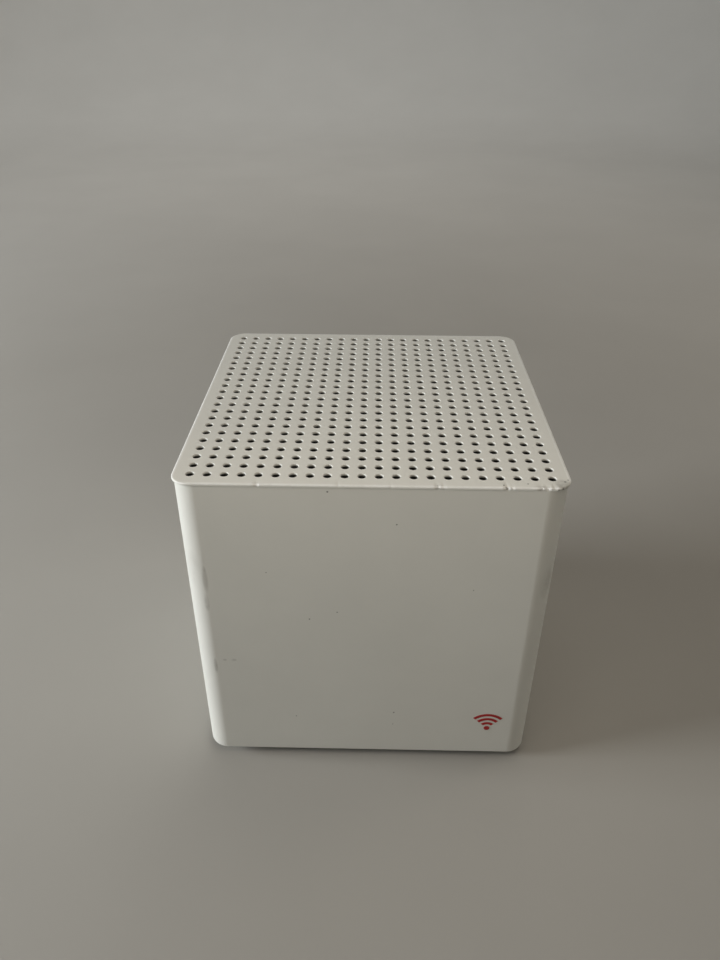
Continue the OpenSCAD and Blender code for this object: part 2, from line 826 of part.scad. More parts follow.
module fan_screws() color(METAL) {
    four_corners(fan_hole_xy) {
        translate([0, 0, fan_z + fan_t]) rotate([180, 0, 0]) screw(fan_t + tray_t - 0.3, 1.85, 3.4, 2.2);
    }
}

module fan_plug() color("ivory") {
    span([board_face, 22, 30], [plug_mouth, 30, 35]);
}

module fan_lead() color(CARBON) lead(fan_route, 0.8, [0, 0, 1]);

// ---------------------------------------------------------------- antennas

// Antenna board flat against the outside of the chassis, facing the side that its name says.
module antenna(side) color(CARBON) {
    at = side == "front" || side == "rear" ? 24 : 0;
    turn = lookup_side(side);
    along = side == "rear" ? -at : at;
    rotate(turn) span([ring_half, along - antenna_w / 2, antenna_z[0]],
                      [ring_half + antenna_t, along + antenna_w / 2, antenna_z[1]]);
}

function lookup_side(side) =
    side == "right" ? 0 : side == "rear" ? 90 : side == "left" ? 180 : -90;

// Coax lead from the board to an antenna, with the push-on plug at its board end.
module antenna_cable(side) color("gray") {
    i = search([side], SIDES)[0];
    lead(cable_routes[i], cable_r, i < 2 ? [0, 1, 0] : [1, 0, 0]);
    rod_x(board_face + 1.2, board_face + 2.8, coax_at[i].x, coax_at[i].y, 1.5);
}

// Coax sockets along the top of the board, in the order of SIDES, and the leads' routes.
coax_at = [[-16, 116], [-2, 116], [-30, 116], [12, 116]];
coax_x = board_face + 2;
plug_mouth = -2.8;
fan_route = [
    [9, 9, 24.4], [14, 14, 24.5], [13, 20, 26], [9, 25, 30], [4, 26, 32.5], [plug_mouth, 26, 32.5]
];
cable_routes = [
    [[coax_x, -16, 116], [coax_x, -16, 121], [-8, -15, 126.5], [-22, -10, 129], [-44, -4, 128.2],
     [-53, -1, 128.4], [-55.8, 0, 125.5], [-55.5, 0, 120], [-55.5, 0, 112]],
    [[coax_x, -2, 116], [coax_x, -2, 121], [0, -2, 126], [18, -1, 128.6], [44, 0, 128.2],
     [53, 0, 128.4], [55.8, 0, 125.5], [55.5, 0, 120], [55.5, 0, 112]],
    [[coax_x, -30, 116], [coax_x, -30, 121], [0, -33, 126], [10, -40, 128.6], [20, -48, 128.6],
     [24, -53, 128.4], [24, -55.8, 125.5], [24, -55.5, 120], [24, -55.5, 112]],
    [[coax_x, 12, 116], [coax_x, 13, 121], [0, 18, 126], [12, 30, 128.4], [22, 44, 128.2],
     [24, 53, 128.4], [24, 55.8, 125.5], [24, 55.5, 120], [24, 55.5, 112]]
];

// ---------------------------------------------------------------- nodes

sleeve();
top_cover();
front_mark();
base_plate();
rubber_feet();
base_screws();
rating_label();
rear_panel();
panel_marks();
panel_screws();
chassis();
chassis_screws();
main_board();
board_screws();
processor();
memory_chips();
shield_cans();
power_parts();
coax_sockets();
processor_pad();
radio_pads();
heat_sink();
radio_heat_sink();
heat_sink_screws();
lan_contacts();
dc_jack();
dc_pin();
power_switch();
power_button();
pair_switch();
pair_button();
reset_switch();
reset_button();
fan_frame();
fan_rotor();
fan_magnet();
fan_shaft();
fan_bearing();
fan_stator();
fan_screws();
fan_lead();
fan_plug();
status_led();
light_guide();
for (i = LAN_IDS) {
    lan_shield(i);
    lan_jack(i);
}
for (s = SIDES) {
    antenna(s);
    antenna_cable(s);
}
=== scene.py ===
import json
import random
from math import copysign, cos, pi, radians, sin, sqrt, tan

import bmesh
import bpy
from mathutils import Matrix, Vector, noise


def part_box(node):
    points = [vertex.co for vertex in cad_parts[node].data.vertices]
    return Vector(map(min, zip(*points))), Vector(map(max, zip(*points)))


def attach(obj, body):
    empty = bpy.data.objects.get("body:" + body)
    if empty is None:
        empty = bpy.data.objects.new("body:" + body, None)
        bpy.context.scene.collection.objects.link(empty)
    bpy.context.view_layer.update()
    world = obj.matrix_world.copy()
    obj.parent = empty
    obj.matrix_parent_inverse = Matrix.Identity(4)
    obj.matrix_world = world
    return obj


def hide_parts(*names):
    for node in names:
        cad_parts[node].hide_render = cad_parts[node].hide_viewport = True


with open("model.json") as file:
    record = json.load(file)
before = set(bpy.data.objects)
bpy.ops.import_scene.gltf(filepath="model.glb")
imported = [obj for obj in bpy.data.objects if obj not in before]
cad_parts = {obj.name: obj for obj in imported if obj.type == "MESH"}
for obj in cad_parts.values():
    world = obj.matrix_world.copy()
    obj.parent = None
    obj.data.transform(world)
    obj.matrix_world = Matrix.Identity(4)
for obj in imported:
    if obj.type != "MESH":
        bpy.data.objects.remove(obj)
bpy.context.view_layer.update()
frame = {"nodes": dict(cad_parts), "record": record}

# White cube-shaped wireless network node. +Z is up, -Y is the plain front and +Y is the side with
# the sockets. Sizes and places are in millimetres, and MM puts them into Blender's metres. The
# scales of textures are per metre.
MM = 0.001
nodes = frame["nodes"]


def box(node):
    """Lowest and highest corner of a CAD node."""
    low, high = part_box(node)
    return low / MM, high / MM


# ---------------- driving sizes

COVER_HIGH = box("top_cover")[1]
SLEEVE_LOW, SLEEVE_HIGH = box("sleeve")
TOP = COVER_HIGH.z
COVER_HALF = COVER_HIGH.x
SLEEVE_HALF = SLEEVE_HIGH.x
FRONT = -SLEEVE_HALF
BASE_TOP = box("base_plate")[1].z
CORNER_R = 7                         # upright corners of the cover's rim
SLEEVE_R = 8.5                       # upright corners of the sleeve
COVER_T = 2.4
WALL_T = 2.2
INNER_HALF = SLEEVE_HALF - WALL_T
INNER_R = SLEEVE_R - WALL_T
CORNER_STEPS = 18
VENT_COUNT = 22
VENT_PITCH = 6
VENT_R = 1.5
GRID_HALF = VENT_COUNT * VENT_PITCH / 2
PANEL_FACE = box("rear_panel")[1].y
PANEL_BACK = PANEL_FACE - 2
AXLE = 0.01                          # radius where a turned shape closes on its axis
WELD = 0.001 * MM                    # points nearer to each other than this are made one
SIDES = ("left", "right", "front", "rear")


# ---------------- node graphs

SHADER_SOCKETS = {"specular": "Specular IOR Level", "ior": "IOR", "metallic": "Metallic",
                  "coat": "Coat Weight", "transmission": "Transmission Weight"}
MIX_A, MIX_B, MIX_RESULT = 6, 7, 2   # a Mix node's colour sockets


class Graph:
    """A material's node tree, with one method for each kind of node that is used here."""

    def __init__(self, name):
        self.material = bpy.data.materials.new(name)
        self.material.use_nodes = True
        self.tree = self.material.node_tree
        self.place = self.node("TexCoord", {}, "Object")

    def feed(self, sockets, values):
        """Sets each named socket, or links it to another node's output."""
        for key, value in values.items():
            if isinstance(value, bpy.types.NodeSocket):
                self.tree.links.new(value, sockets[key])
            else:
                sockets[key].default_value = value

    def node(self, kind, values, output=0, **settings):
        """Makes a node with these inputs and gives one of its outputs."""
        made = self.tree.nodes.new("ShaderNode" + kind)
        for key, value in settings.items():
            setattr(made, key, value)
        self.feed(made.inputs, values)
        return made.outputs[output]

    def stretched(self, scale):
        """The place, scaled by a different amount along each axis."""
        return self.node("Mapping", {"Vector": self.place, "Scale": scale})

    def noise(self, scale, detail=4.0, roughness=0.55, place=None):
        values = {"Vector": place or self.place, "Scale": scale, "Detail": detail, "Roughness": roughness}
        return self.node("TexNoise", values, "Fac")

    def cells(self, scale, place=None):
        return self.node("TexVoronoi", {"Vector": place or self.place, "Scale": scale}, "Distance")

    def remap(self, value, low, high, to_low=0.0, to_high=1.0):
        values = {"Value": value, "From Min": low, "From Max": high, "To Min": to_low, "To Max": to_high}
        return self.node("MapRange", values, "Result", clamp=True)

    def cloud(self, scale, detail, *ranges):
        """Soft patches: noise, remapped."""
        return self.remap(self.noise(scale, detail), *ranges)

    def math(self, operation, a, b=0.0):
        return self.node("Math", {0: a, 1: b}, operation=operation)

    def times(self, a, b):
        return self.math("MULTIPLY", a, b)

    def mix(self, amount, a, b):
        """Colour a where amount is 0 and colour b where it is 1."""
        a, b = (v if isinstance(v, bpy.types.NodeSocket) else (*v, 1.0) for v in (a, b))
        return self.node("Mix", {0: amount, MIX_A: a, MIX_B: b}, MIX_RESULT, data_type="RGBA")

    def spot(self, centre, size):
        """1 at a point, falling to 0 at an ellipsoid of the given half sizes."""
        away = self.node("VectorMath", {0: self.place, 1: Vector(centre) * MM}, operation="SUBTRACT")
        share = self.node("VectorMath", {0: away, 1: Vector(size) * MM}, operation="DIVIDE")
        length = self.node("VectorMath", {0: share}, "Value", operation="LENGTH")
        return self.remap(length, 0.0, 1.0, 1.0, 0.0)

    def most(self, values):
        total = values[0]
        for value in values[1:]:
            total = self.math("MAXIMUM", total, value)
        return total

    def axis(self, name):
        """The place along one axis, in millimetres."""
        return self.times(self.node("SeparateXYZ", {0: self.place}, name), 1 / MM)

    def bump(self, height, depth, strength, under=None):
        values = {"Height": height, "Distance": depth * MM, "Strength": strength}
        if under is not None:
            values["Normal"] = under
        return self.node("Bump", values)

    def finish(self, colour, roughness, normal, **sockets):
        shader = self.tree.nodes["Principled BSDF"].inputs
        self.feed(shader, {"Base Color": colour, "Roughness": roughness, "Normal": normal})
        self.feed(shader, {SHADER_SOCKETS[key]: value for key, value in sockets.items()})
        return self.material


def tint(colour, factor):
    return tuple(min(1.0, c * factor) for c in colour)


# ---------------- materials

WHITE = (0.80, 0.79, 0.735)
YELLOWED = (0.79, 0.765, 0.70)
GRIME = (0.26, 0.245, 0.215)
# dark of the painted shade deep in the cover's vents
VENT_SHADE = (0.018, 0.0175, 0.017)
# white of fresh chips, also the colour of the painted highlight along the cover's rim
CHIP_WHITE_AND_HIGHLIGHT = (0.93, 0.925, 0.90)


def white_shell(name, smudges, specks, chips=(), with_painted_vent_light=False):
    """Satin white moulded plastic with a fine skin texture, faint handling marks and dust.
    A vented cover gets painted shade that deepens down its vent walls and covers its underside and clips, and
    a painted highlight along the rounded edge of its rim."""
    g = Graph(name)
    colour = g.mix(g.cloud(22, 5, 0.35, 0.7), WHITE, tint(WHITE, 0.955))
    colour = g.mix(g.times(g.cloud(9, 3, 0.5, 0.8), 0.35), colour, YELLOWED)
    dust = g.times(g.remap(g.cells(620), 0.0, 0.085, 1.0, 0.0), g.cloud(70, 2, 0.62, 0.68))
    colour = g.mix(g.times(dust, 0.45), colour, GRIME)
    streak = g.remap(g.noise(150, 6, 0.7, g.stretched((1, 1, 0.35))), 0.42, 0.66, 0.2, 1.0)
    for centre, size, strength in smudges:
        soft = g.times(g.remap(g.spot(centre, size), 0.0, 0.55), streak)
        colour = g.mix(g.times(soft, strength), colour, GRIME)
    mark = g.most([g.remap(g.spot(centre, (r, r, r)), 0.0, 0.3) for centre, r in specks])
    colour = g.mix(g.times(mark, 0.8), colour, tint(GRIME, 0.5))
    if chips:
        fresh = g.most([g.remap(g.spot(centre, size), 0.0, 0.25) for centre, size in chips])
        colour = g.mix(fresh, colour, CHIP_WHITE_AND_HIGHLIGHT)
    # painted shade in the vents and a painted highlight on the rim
    if with_painted_vent_light:
        colour = paint_vent_shade_and_rim_highlight(g, colour)
    rough = g.cloud(45, 5, 0.3, 0.7, 0.36, 0.47)
    skin = g.bump(g.noise(2600, 2), 0.03, 0.45)
    wave = g.bump(g.noise(16, 1), 0.4, 0.10, skin)
    return g.finish(colour, rough, wave, specular=0.45)


def paint_vent_shade_and_rim_highlight(g, colour):
    """Paints shade that deepens down the cover's vent walls, and paints a highlight along the rim's rounded
    edge.
    """
    span = g.math("MAXIMUM", g.math("ABSOLUTE", g.axis("X")), g.math("ABSOLUTE", g.axis("Y")))
    height = g.axis("Z")
    inside = g.most([g.math("LESS_THAN", span, GRID_HALF), g.math("LESS_THAN", height, SLEEVE_HIGH.z - 0.2)])
    # Painted shade: from 0.45 mm below the top face the cover turns dark, fully by 0.95 mm, standing in for
    # the shade deep in the vents. Inside the vent field and below the sleeve's top this also darkens the
    # underside and the clips. core is the amount of this painted shade.
    darkest_from, shade_from = TOP - 0.95, TOP - 0.45
    core = g.remap(height, darkest_from, shade_from, 1.0, 0.0)
    colour = g.mix(g.times(core, inside), colour, VENT_SHADE)
    # Painted highlight: a lighter band, broken up by noise, along the rounded top edge of the rim on all four
    # sides.
    edge = g.times(g.remap(span, COVER_HALF - 1.3, COVER_HALF - 0.5), g.remap(height, TOP - 0.55, TOP - 0.25))
    return g.mix(g.times(edge, g.cloud(170, 4, 0.3, 0.6, 0.45, 1.0)), colour, CHIP_WHITE_AND_HIGHLIGHT)


def plastic(name, colour, rough=0.5, grain=1800, depth=0.04, patch=30, spread=0.12):
    """Moulded plastic with a spark-eroded grain and slight colour clouds."""
    g = Graph(name)
    tone = g.mix(g.cloud(patch, 4, 0.3, 0.7), tint(colour, 1 - spread), tint(colour, 1 + spread))
    tone = g.mix(g.times(g.cloud(grain * 0.4, 3, 0.3, 0.7), 0.25), tone, tint(colour, 0.8))
    roughness = g.cloud(patch * 3, 4, 0.3, 0.7, rough - 0.06, rough + 0.08)
    height = g.math("ADD", g.noise(grain, 2), g.cells(grain * 0.7))
    return g.finish(tone, roughness, g.bump(height, depth, 0.6))


def rubber(name, colour):
    g = Graph(name)
    dust = g.remap(g.noise(180, 6, 0.7), 0.52, 0.72)
    tone = g.mix(g.times(dust, 0.5), colour, (0.20, 0.19, 0.175))
    height = g.math("ADD", g.noise(1500, 3), g.cells(800))
    return g.finish(tone, g.cloud(90, 4, 0.3, 0.7, 0.68, 0.86), g.bump(height, 0.06, 0.8), specular=0.3)


def metal(name, colour, rough, direction, brushed, stain):
    """Rolled or machined metal: fine lines along one direction, with faint stains."""
    g = Graph(name)
    lines = g.noise(1400, 4, 0.6, g.stretched([0.03 if axis == direction else 1 for axis in "XYZ"]))
    patches = g.remap(g.noise(60, 5, 0.65), 0.45, 0.75)
    tone = g.mix(g.remap(lines, 0.3, 0.7), tint(colour, 0.86), tint(colour, 1.06))
    tone = g.mix(g.times(patches, stain), tone, tint(colour, 0.55))
    roughness = g.math("ADD", g.remap(lines, 0.3, 0.7, rough - 0.06, rough + 0.08), g.times(patches, 0.12))
    return g.finish(tone, roughness, g.bump(lines, 0.03, brushed), metallic=1.0)


def circuit_board(name):
    """Green solder mask over copper traces and planes, with drilled vias."""
    g = Graph(name)
    runs, rises = (g.remap(g.cells(scale, g.stretched(long)), 0.12, 0.16, 1.0, 0.0)
                   for scale, long in ((260, (1, 0.22, 1)), (230, (1, 1, 0.2))))
    trace = g.most([runs, rises, g.cloud(48, 0, 0.53, 0.54)])
    tone = g.mix(trace, (0.018, 0.105, 0.052), (0.03, 0.165, 0.078))
    via = g.times(g.remap(g.cells(340), 0.10, 0.125, 1.0, 0.0), g.cloud(120, 0, 0.55, 0.56))
    tone = g.mix(via, tone, (0.55, 0.50, 0.36))
    rough = g.cloud(400, 3, 0.3, 0.7, 0.30, 0.42)
    return g.finish(tone, rough, g.bump(g.math("ADD", trace, via), 0.05, 0.7), coat=0.25)


def chip_package(name, colour):
    g = Graph(name)
    speckle = g.remap(g.noise(2200, 3, 0.7), 0.45, 0.7)
    tone = g.mix(speckle, colour, tint(colour, 2.1))
    return g.finish(tone, g.cloud(500, 4, 0.3, 0.7, 0.55, 0.72), g.bump(g.noise(1800, 3), 0.04, 0.7))


def translucent(name, colour, rough, weight):
    g = Graph(name)
    tone = g.mix(g.cloud(200, 4, 0.3, 0.7), colour, tint(colour, 0.9))
    roughness = g.cloud(300, 3, 0.3, 0.7, rough, rough + 0.1)
    return g.finish(tone, roughness, g.bump(g.noise(900, 2), 0.02, 0.4), transmission=weight, ior=1.49)


def copper_winding(name):
    """Enamelled copper wire, wound in close turns."""
    g = Graph(name)
    turns = g.cells(1500, g.stretched((0.08, 0.08, 1)))
    tone = g.mix(g.remap(turns, 0.1, 0.6), (0.62, 0.27, 0.09), (0.22, 0.075, 0.02))
    return g.finish(tone, g.cloud(300, 3, 0.3, 0.7, 0.28, 0.42), g.bump(turns, -0.12, 0.8), metallic=0.75)


def braided(name, colour):
    """Thin jacketed lead with a faint weave of the screen under the jacket."""
    g = Graph(name)
    weave = g.cells(2600)
    tone = g.mix(g.remap(weave, 0.1, 0.6), tint(colour, 1.15), tint(colour, 0.75))
    return g.finish(tone, g.cloud(500, 3, 0.3, 0.7, 0.42, 0.58), g.bump(weave, -0.05, 0.7))


def printed(name, colour, uneven=0.35):
    """Pad-printed ink: slightly uneven coverage with a soft gloss."""
    g = Graph(name)
    thin = g.remap(g.noise(900, 4, 0.7), 0.48, 0.75)
    tone = g.mix(g.times(thin, uneven), colour, tint(colour, 1.7))
    return g.finish(tone, g.cloud(600, 3, 0.3, 0.7, 0.34, 0.5), g.bump(g.noise(2400, 2), 0.02, 0.5))


# faint smears: middle, half sizes and strength
SLEEVE_SMUDGES = (
    ((-61.0, FRONT, 99), (1.3, 2, 7), 1.5),
    ((-61.5, FRONT, 88), (1.2, 2, 5), 0.8),
    ((-65.5, FRONT + 1.5, 103), (4, 5, 10), 0.2),
    ((-61.4, FRONT + 0.1, 54), (0.9, 2, 5), 1.0),
    ((-57.4, FRONT, 57.6), (1.0, 2, 0.7), 0.6),
    ((-53.8, FRONT, 57.6), (1.4, 2, 0.8), 0.6),
    ((66, FRONT + 1.5, 99), (3, 4, 9), 0.4),
    ((SLEEVE_HALF, 20, 8), (3, 14, 4), 0.12),
)
COVER_SMUDGES = (
    ((66, -67, TOP), (4, 4, 2), 0.75),
    ((58, -69, TOP), (5, 1.6, 2), 0.65),
    ((24, -69, TOP), (3, 1.4, 2), 0.45),
    ((-39, -69, TOP), (2.5, 1.4, 2), 0.35),
)
# dark specks: middle and radius
SLEEVE_SPECKS = [((x, FRONT, z), r) for x, z, r in (
    (-14.7, 139, 0.4), (9.5, 125.6, 0.35), (-22.7, 80.3, 0.35), (11.2, 28.2, 0.4), (11, 21, 0.25),
    (-12, 84, 0.3), (-38, 103, 0.25), (39, 96, 0.25), (-30, 25, 0.3))]
COVER_SPECKS = [((x, y, TOP - down), r) for x, y, down, r in (
    (46.4, -68.9, 0.4, 0.55), (45.6, -67.6, 0, 0.35), (65.7, -68.6, 0.5, 0.5), (64.0, -69.2, 0.6, 0.35),
    (67.0, -65.0, 0, 0.5), (68.3, -63.8, 0, 0.4), (54.0, -66.6, 0, 0.35), (23.0, -68.4, 0, 0.3))]
# chips in the front edge: middle and half sizes
COVER_CHIPS = [((x, -69.1, TOP - down), (long, 0.7, 0.5)) for x, down, long in (
    (47.5, 0.5, 0.8), (60.2, 0.5, 1.5), (61.9, 0.8, 1.1), (24.3, 0.3, 1.2), (-38.6, 0.3, 0.8))]

MATERIALS = {
    "sleeve": white_shell("white_sleeve", SLEEVE_SMUDGES, SLEEVE_SPECKS),
    "top_cover": white_shell("white_cover", COVER_SMUDGES, COVER_SPECKS, COVER_CHIPS, with_painted_vent_light=True),
    "front_mark": printed("red_print", (0.42, 0.006, 0.008)),
    "base_plate": plastic("grey_base", (0.42, 0.42, 0.40), 0.62),
    "rubber": rubber("black_rubber", (0.022, 0.022, 0.024)),
    "screw_steel": metal("screw_steel", (0.34, 0.34, 0.35), 0.34, "Z", 0.5, 0.3),
    "label": printed("label_film", (0.62, 0.62, 0.61), 0.08),
    "rear_panel": plastic("grey_panel", (0.50, 0.50, 0.485), 0.55, 2200, 0.05),
    "panel_marks": printed("grey_print", (0.07, 0.07, 0.075)),
    "chassis": plastic("dark_chassis", (0.11, 0.115, 0.12), 0.6),
    "board": circuit_board("solder_mask"),
    "chip": chip_package("chip_epoxy", (0.028, 0.028, 0.031)),
    "tin_can": metal("tinned_steel", (0.62, 0.62, 0.61), 0.28, "Y", 0.35, 0.25),
    "power_parts": plastic("ferrite", (0.05, 0.05, 0.055), 0.5, 900, 0.08),
    "gold_contact": metal("gold_plate", (0.83, 0.58, 0.22), 0.2, "Y", 0.25, 0.1),
    "thermal_pad": rubber("thermal_pad", (0.26, 0.34, 0.44)),
    "heat_sink": metal("black_anodised", (0.055, 0.056, 0.060), 0.38, "Z", 0.8, 0.18),
    "socket_plastic": plastic("socket_black", (0.020, 0.020, 0.022), 0.48, 1500),
    "switch_plastic": plastic("switch_black", (0.035, 0.035, 0.038), 0.45, 1500),
    "button_white": plastic("button_white", (0.66, 0.655, 0.63), 0.42, 2400, 0.02, 60, 0.04),
    "fan_plastic": plastic("fan_black", (0.022, 0.022, 0.024), 0.42, 1400),
    "magnet": plastic("bonded_magnet", (0.07, 0.068, 0.066), 0.6, 1100, 0.09),
    "shaft_steel": metal("ground_steel", (0.58, 0.58, 0.60), 0.14, "X", 0.2, 0.05),
    "bearing_bronze": metal("sintered_bronze", (0.46, 0.28, 0.11), 0.42, "Z", 0.6, 0.4),
    "winding": copper_winding("copper_wire"),
    "lead_black": braided("lead_jacket", (0.03, 0.03, 0.032)),
    "lead_red": braided("red_jacket", (0.42, 0.02, 0.02)),
    "lead_yellow": braided("yellow_jacket", (0.62, 0.44, 0.03)),
    "ceramic": plastic("ceramic_body", (0.42, 0.29, 0.17), 0.45, 2600, 0.02, 300, 0.15),
    "plug_ivory": plastic("ivory_nylon", (0.62, 0.58, 0.46), 0.5, 1500),
    "antenna_board": circuit_board("antenna_mask"),
    "coax_grey": braided("coax_jacket", (0.17, 0.17, 0.18)),
    "led_white": translucent("led_resin", (0.86, 0.80, 0.55), 0.3, 0.2),
    "light_guide": translucent("clear_acrylic", (0.90, 0.94, 0.96), 0.08, 0.85),
}


# ---------------- mesh helpers

def piece(name, bm, slot, node=None, body="housing", sharp=38, look=None):
    """Makes an object of a bmesh, smooth apart from its sharp edges, and ties it to the frame.
    node is the CAD node that it stands for. look names the material where it isn't the slot's own."""
    bmesh.ops.recalc_face_normals(bm, faces=bm.faces)
    mesh = bpy.data.meshes.new(name)
    bm.to_mesh(mesh)
    bm.free()
    mesh.shade_smooth()
    mesh.set_sharp_from_angle(angle=radians(sharp))
    mesh.materials.append(MATERIALS[look or slot])
    made = placed(name, mesh)
    made.modifiers.new("weighted", "WEIGHTED_NORMAL").keep_sharp = True
    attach(made, body)
    if node:
        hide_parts(node)
    return made


def placed(name, data):
    """A new object in the scene."""
    made = bpy.data.objects.new(name, data)
    bpy.context.scene.collection.objects.link(made)
    return made


def cad_copy(node):
    """A CAD node's mesh, with doubled points merged."""
    part = bmesh.new()
    part.from_mesh(nodes[node].data)
    bmesh.ops.remove_doubles(part, verts=part.verts, dist=2 * WELD)
    return part


def soft_copy(bm, node, width):
    """Adds a CAD node's shape to a bmesh, with its sharp edges rounded."""
    part = cad_copy(node)
    bmesh.ops.dissolve_limit(part, angle_limit=radians(0.6), verts=part.verts, edges=part.edges)
    limit = radians(32)
    sharp = [e for e in part.edges if len(e.link_faces) == 2 and e.calc_face_angle(0) > limit]
    bmesh.ops.bevel(part, geom=sharp, offset=width * MM, offset_type="OFFSET", segments=2,
                    profile=0.6, affect="EDGES", clamp_overlap=True)
    join(bm, part)


def join(bm, part):
    """Moves all of one bmesh into another."""
    mesh = bpy.data.meshes.new("part")
    part.to_mesh(mesh)
    part.free()
    bm.from_mesh(mesh)
    bpy.data.meshes.remove(mesh)


def softened(name, node, slot, width=0.25, body="housing"):
    """A piece that replaces a CAD node by the same shape with rounded edges."""
    bm = bmesh.new()
    soft_copy(bm, node, width)
    piece(name, bm, slot, node, body)


def quarters(bm, build):
    """Adds what build makes on the +X side to a bmesh, on all four sides."""
    for quarter in range(4):
        part = bmesh.new()
        build(part)
        bmesh.ops.rotate(part, matrix=Matrix.Rotation(radians(90 * quarter), 3, "Z"), verts=part.verts)
        join(bm, part)


def ring(bm, points):
    return [bm.verts.new([c * MM for c in p]) for p in points]


def bridge(bm, a, b):
    """Quads between two rings with the same number of points."""
    for i in range(len(a)):
        j = (i + 1) % len(a)
        bm.faces.new((a[i], a[j], b[j], b[i]))


def loft(bm, rings, cap=True):
    """A skin through rings of points, with flat caps on the first and the last."""
    made = [ring(bm, points) for points in rings]
    for a, b in zip(made, made[1:]):
        bridge(bm, a, b)
    if cap:
        bm.faces.new(made[0])
        bm.faces.new(made[-1])
    return made


def angles(steps):
    """Even angles round a full turn."""
    return [2 * pi * i / steps for i in range(steps)]


def rounded(half_x, half_y, radius, steps=8):
    """Outline of a rectangle with round corners, anticlockwise, as (x, y) pairs."""
    points = []
    for quarter, (sx, sy) in enumerate(((1, 1), (-1, 1), (-1, -1), (1, -1))):
        for i in range(steps + 1):
            a = radians(90 * (quarter + i / steps))
            points.append((sx * (half_x - radius) + radius * cos(a),
                           sy * (half_y - radius) + radius * sin(a)))
    return points


def block(bm, low, high, width=0.2, steps=2):
    """A box with rounded edges."""
    part = bmesh.new()
    low, high = Vector(low) * MM, Vector(high) * MM
    size = high - low
    place = Matrix.Translation((low + high) / 2) @ Matrix.Diagonal((*size, 1))
    bmesh.ops.create_cube(part, size=1.0, matrix=place)
    offset = min(width * MM, min(size) * 0.4)
    bmesh.ops.bevel(part, geom=part.edges[:], offset=offset, segments=steps, profile=0.5, affect="EDGES")
    join(bm, part)


def turned(bm, profile, place, steps=48):
    """A lathe shape: (radius, height) pairs, turned about +Z and then put in place by a matrix."""
    loft(bm, [[place @ Vector((r * cos(a), r * sin(a), h)) for a in angles(steps)]
              for r, h in profile])


def along(origin, direction):
    """Matrix that puts +Z along a direction, at an origin."""
    turn = Vector((0, 0, 1)).rotation_difference(Vector(direction))
    return Matrix.Translation(origin) @ turn.to_matrix().to_4x4()


# ---------------- camera, floor and lights

CAMERA_AT = Vector((0.02, -282.8, 279.4))
PITCH, YAW, ROLL = radians(32.37), radians(-0.95), radians(0.30)
LENS, SENSOR = 28.0, 36.0
# name, place, size, watts, colour, and the point that the light faces
LIGHTS = (
    ("window", (-1250, -170, 370), (500, 240), 16.8, (0.94, 0.98, 1.0), (0, 0, 60)),
    ("room", (0, -170, 300), (250, 120), 0.13, (1.0, 0.90, 0.76), (0, -60, 120)),
    ("ceiling", (450, 400, 1400), (1200, 1200), 3.1, (1.0, 0.93, 0.82), (150, 0, 0)),
    ("side", (900, 350, 280), (300, 300), 0.8, (1.0, 0.92, 0.80), (0, 0, 80)),
    ("back", (-300, 1200, 1100), (1400, 800), 4.5, (1.0, 0.97, 0.92), (-300, 1600, 0)),
)


def camera():
    data = bpy.data.cameras.new("camera")
    data.lens = LENS
    data.sensor_width = SENSOR
    data.clip_start = 10 * MM
    made = placed("camera", data)
    forward = Vector((sin(YAW) * cos(PITCH), cos(YAW) * cos(PITCH), -sin(PITCH)))
    level = forward.cross(Vector((0, 0, 1))).normalized()
    right = (level + level.cross(forward) * tan(ROLL)).normalized()
    turn = Matrix((right, right.cross(forward), -forward)).transposed().to_4x4()
    made.matrix_world = Matrix.Translation(CAMERA_AT * MM) @ turn
    bpy.context.scene.camera = made


def stage():
    """A plain pale floor that curves up into a round wall far from the object."""
    flat, bend, wall, steps = 1600, 900, 1200, 96
    curve = [radians(a) for a in range(9, 91, 9)]
    profile = [(20, 0), (400, 0), (flat, 0)]
    profile += [(flat + bend * sin(a), bend * (1 - cos(a))) for a in curve]
    profile.append((flat + bend, bend + wall))
    bm = bmesh.new()
    rings = loft(bm, [[(r * cos(a), r * sin(a), h) for a in angles(steps)] for r, h in profile],
                 cap=False)
    bm.faces.new(rings[0])
    mesh = bpy.data.meshes.new("floor")
    bm.to_mesh(mesh)
    bm.free()
    mesh.shade_smooth()
    g = Graph("pale_floor")
    cloud = g.cloud(6, 3, 0.3, 0.7)
    near = g.mix(cloud, (0.40, 0.38, 0.348), (0.422, 0.402, 0.368))
    far = g.mix(cloud, (0.74, 0.735, 0.71), (0.77, 0.765, 0.74))
    middle = g.spot((0, 0, 0), (2200, 2200, 2200))
    tone = g.mix(g.remap(middle, 0.15, 0.8, 1.0, 0.0), near, far)
    mesh.materials.append(g.finish(tone, 0.85, g.bump(g.noise(300, 3), 0.1, 0.2)))
    placed("floor", mesh)


def lights():
    scene = bpy.context.scene
    scene.view_settings.view_transform = "Standard"
    scene.world = bpy.data.worlds.new("world")
    scene.world.use_nodes = True
    sky = scene.world.node_tree.nodes["Background"].inputs
    sky["Color"].default_value = (1.0, 0.96, 0.90, 1.0)
    sky["Strength"].default_value = 0.045
    for name, at, size, watts, colour, target in LIGHTS:
        data = bpy.data.lights.new(name, "AREA")
        data.shape = "RECTANGLE"
        data.size, data.size_y = (side * MM for side in size)
        data.energy = watts
        data.color = colour
        made = placed(name, data)
        made.visible_camera = False
        made.location = Vector(at) * MM
        made.rotation_mode = "QUATERNION"
        made.rotation_quaternion = (Vector(target) - Vector(at)).to_track_quat("-Z", "Y")


# ---------------- top cover

HOLE_STEPS = 24
BORE_R = VENT_R - 0.05
# softened edge of a vent: how far out from the bore and how far down
LIP = ((0.28, 0.0), (0.17, 0.02), (0.08, 0.08), (0.02, 0.17), (0.0, 0.30))
RIM_R = 0.4
RIM_SPLITS = 3
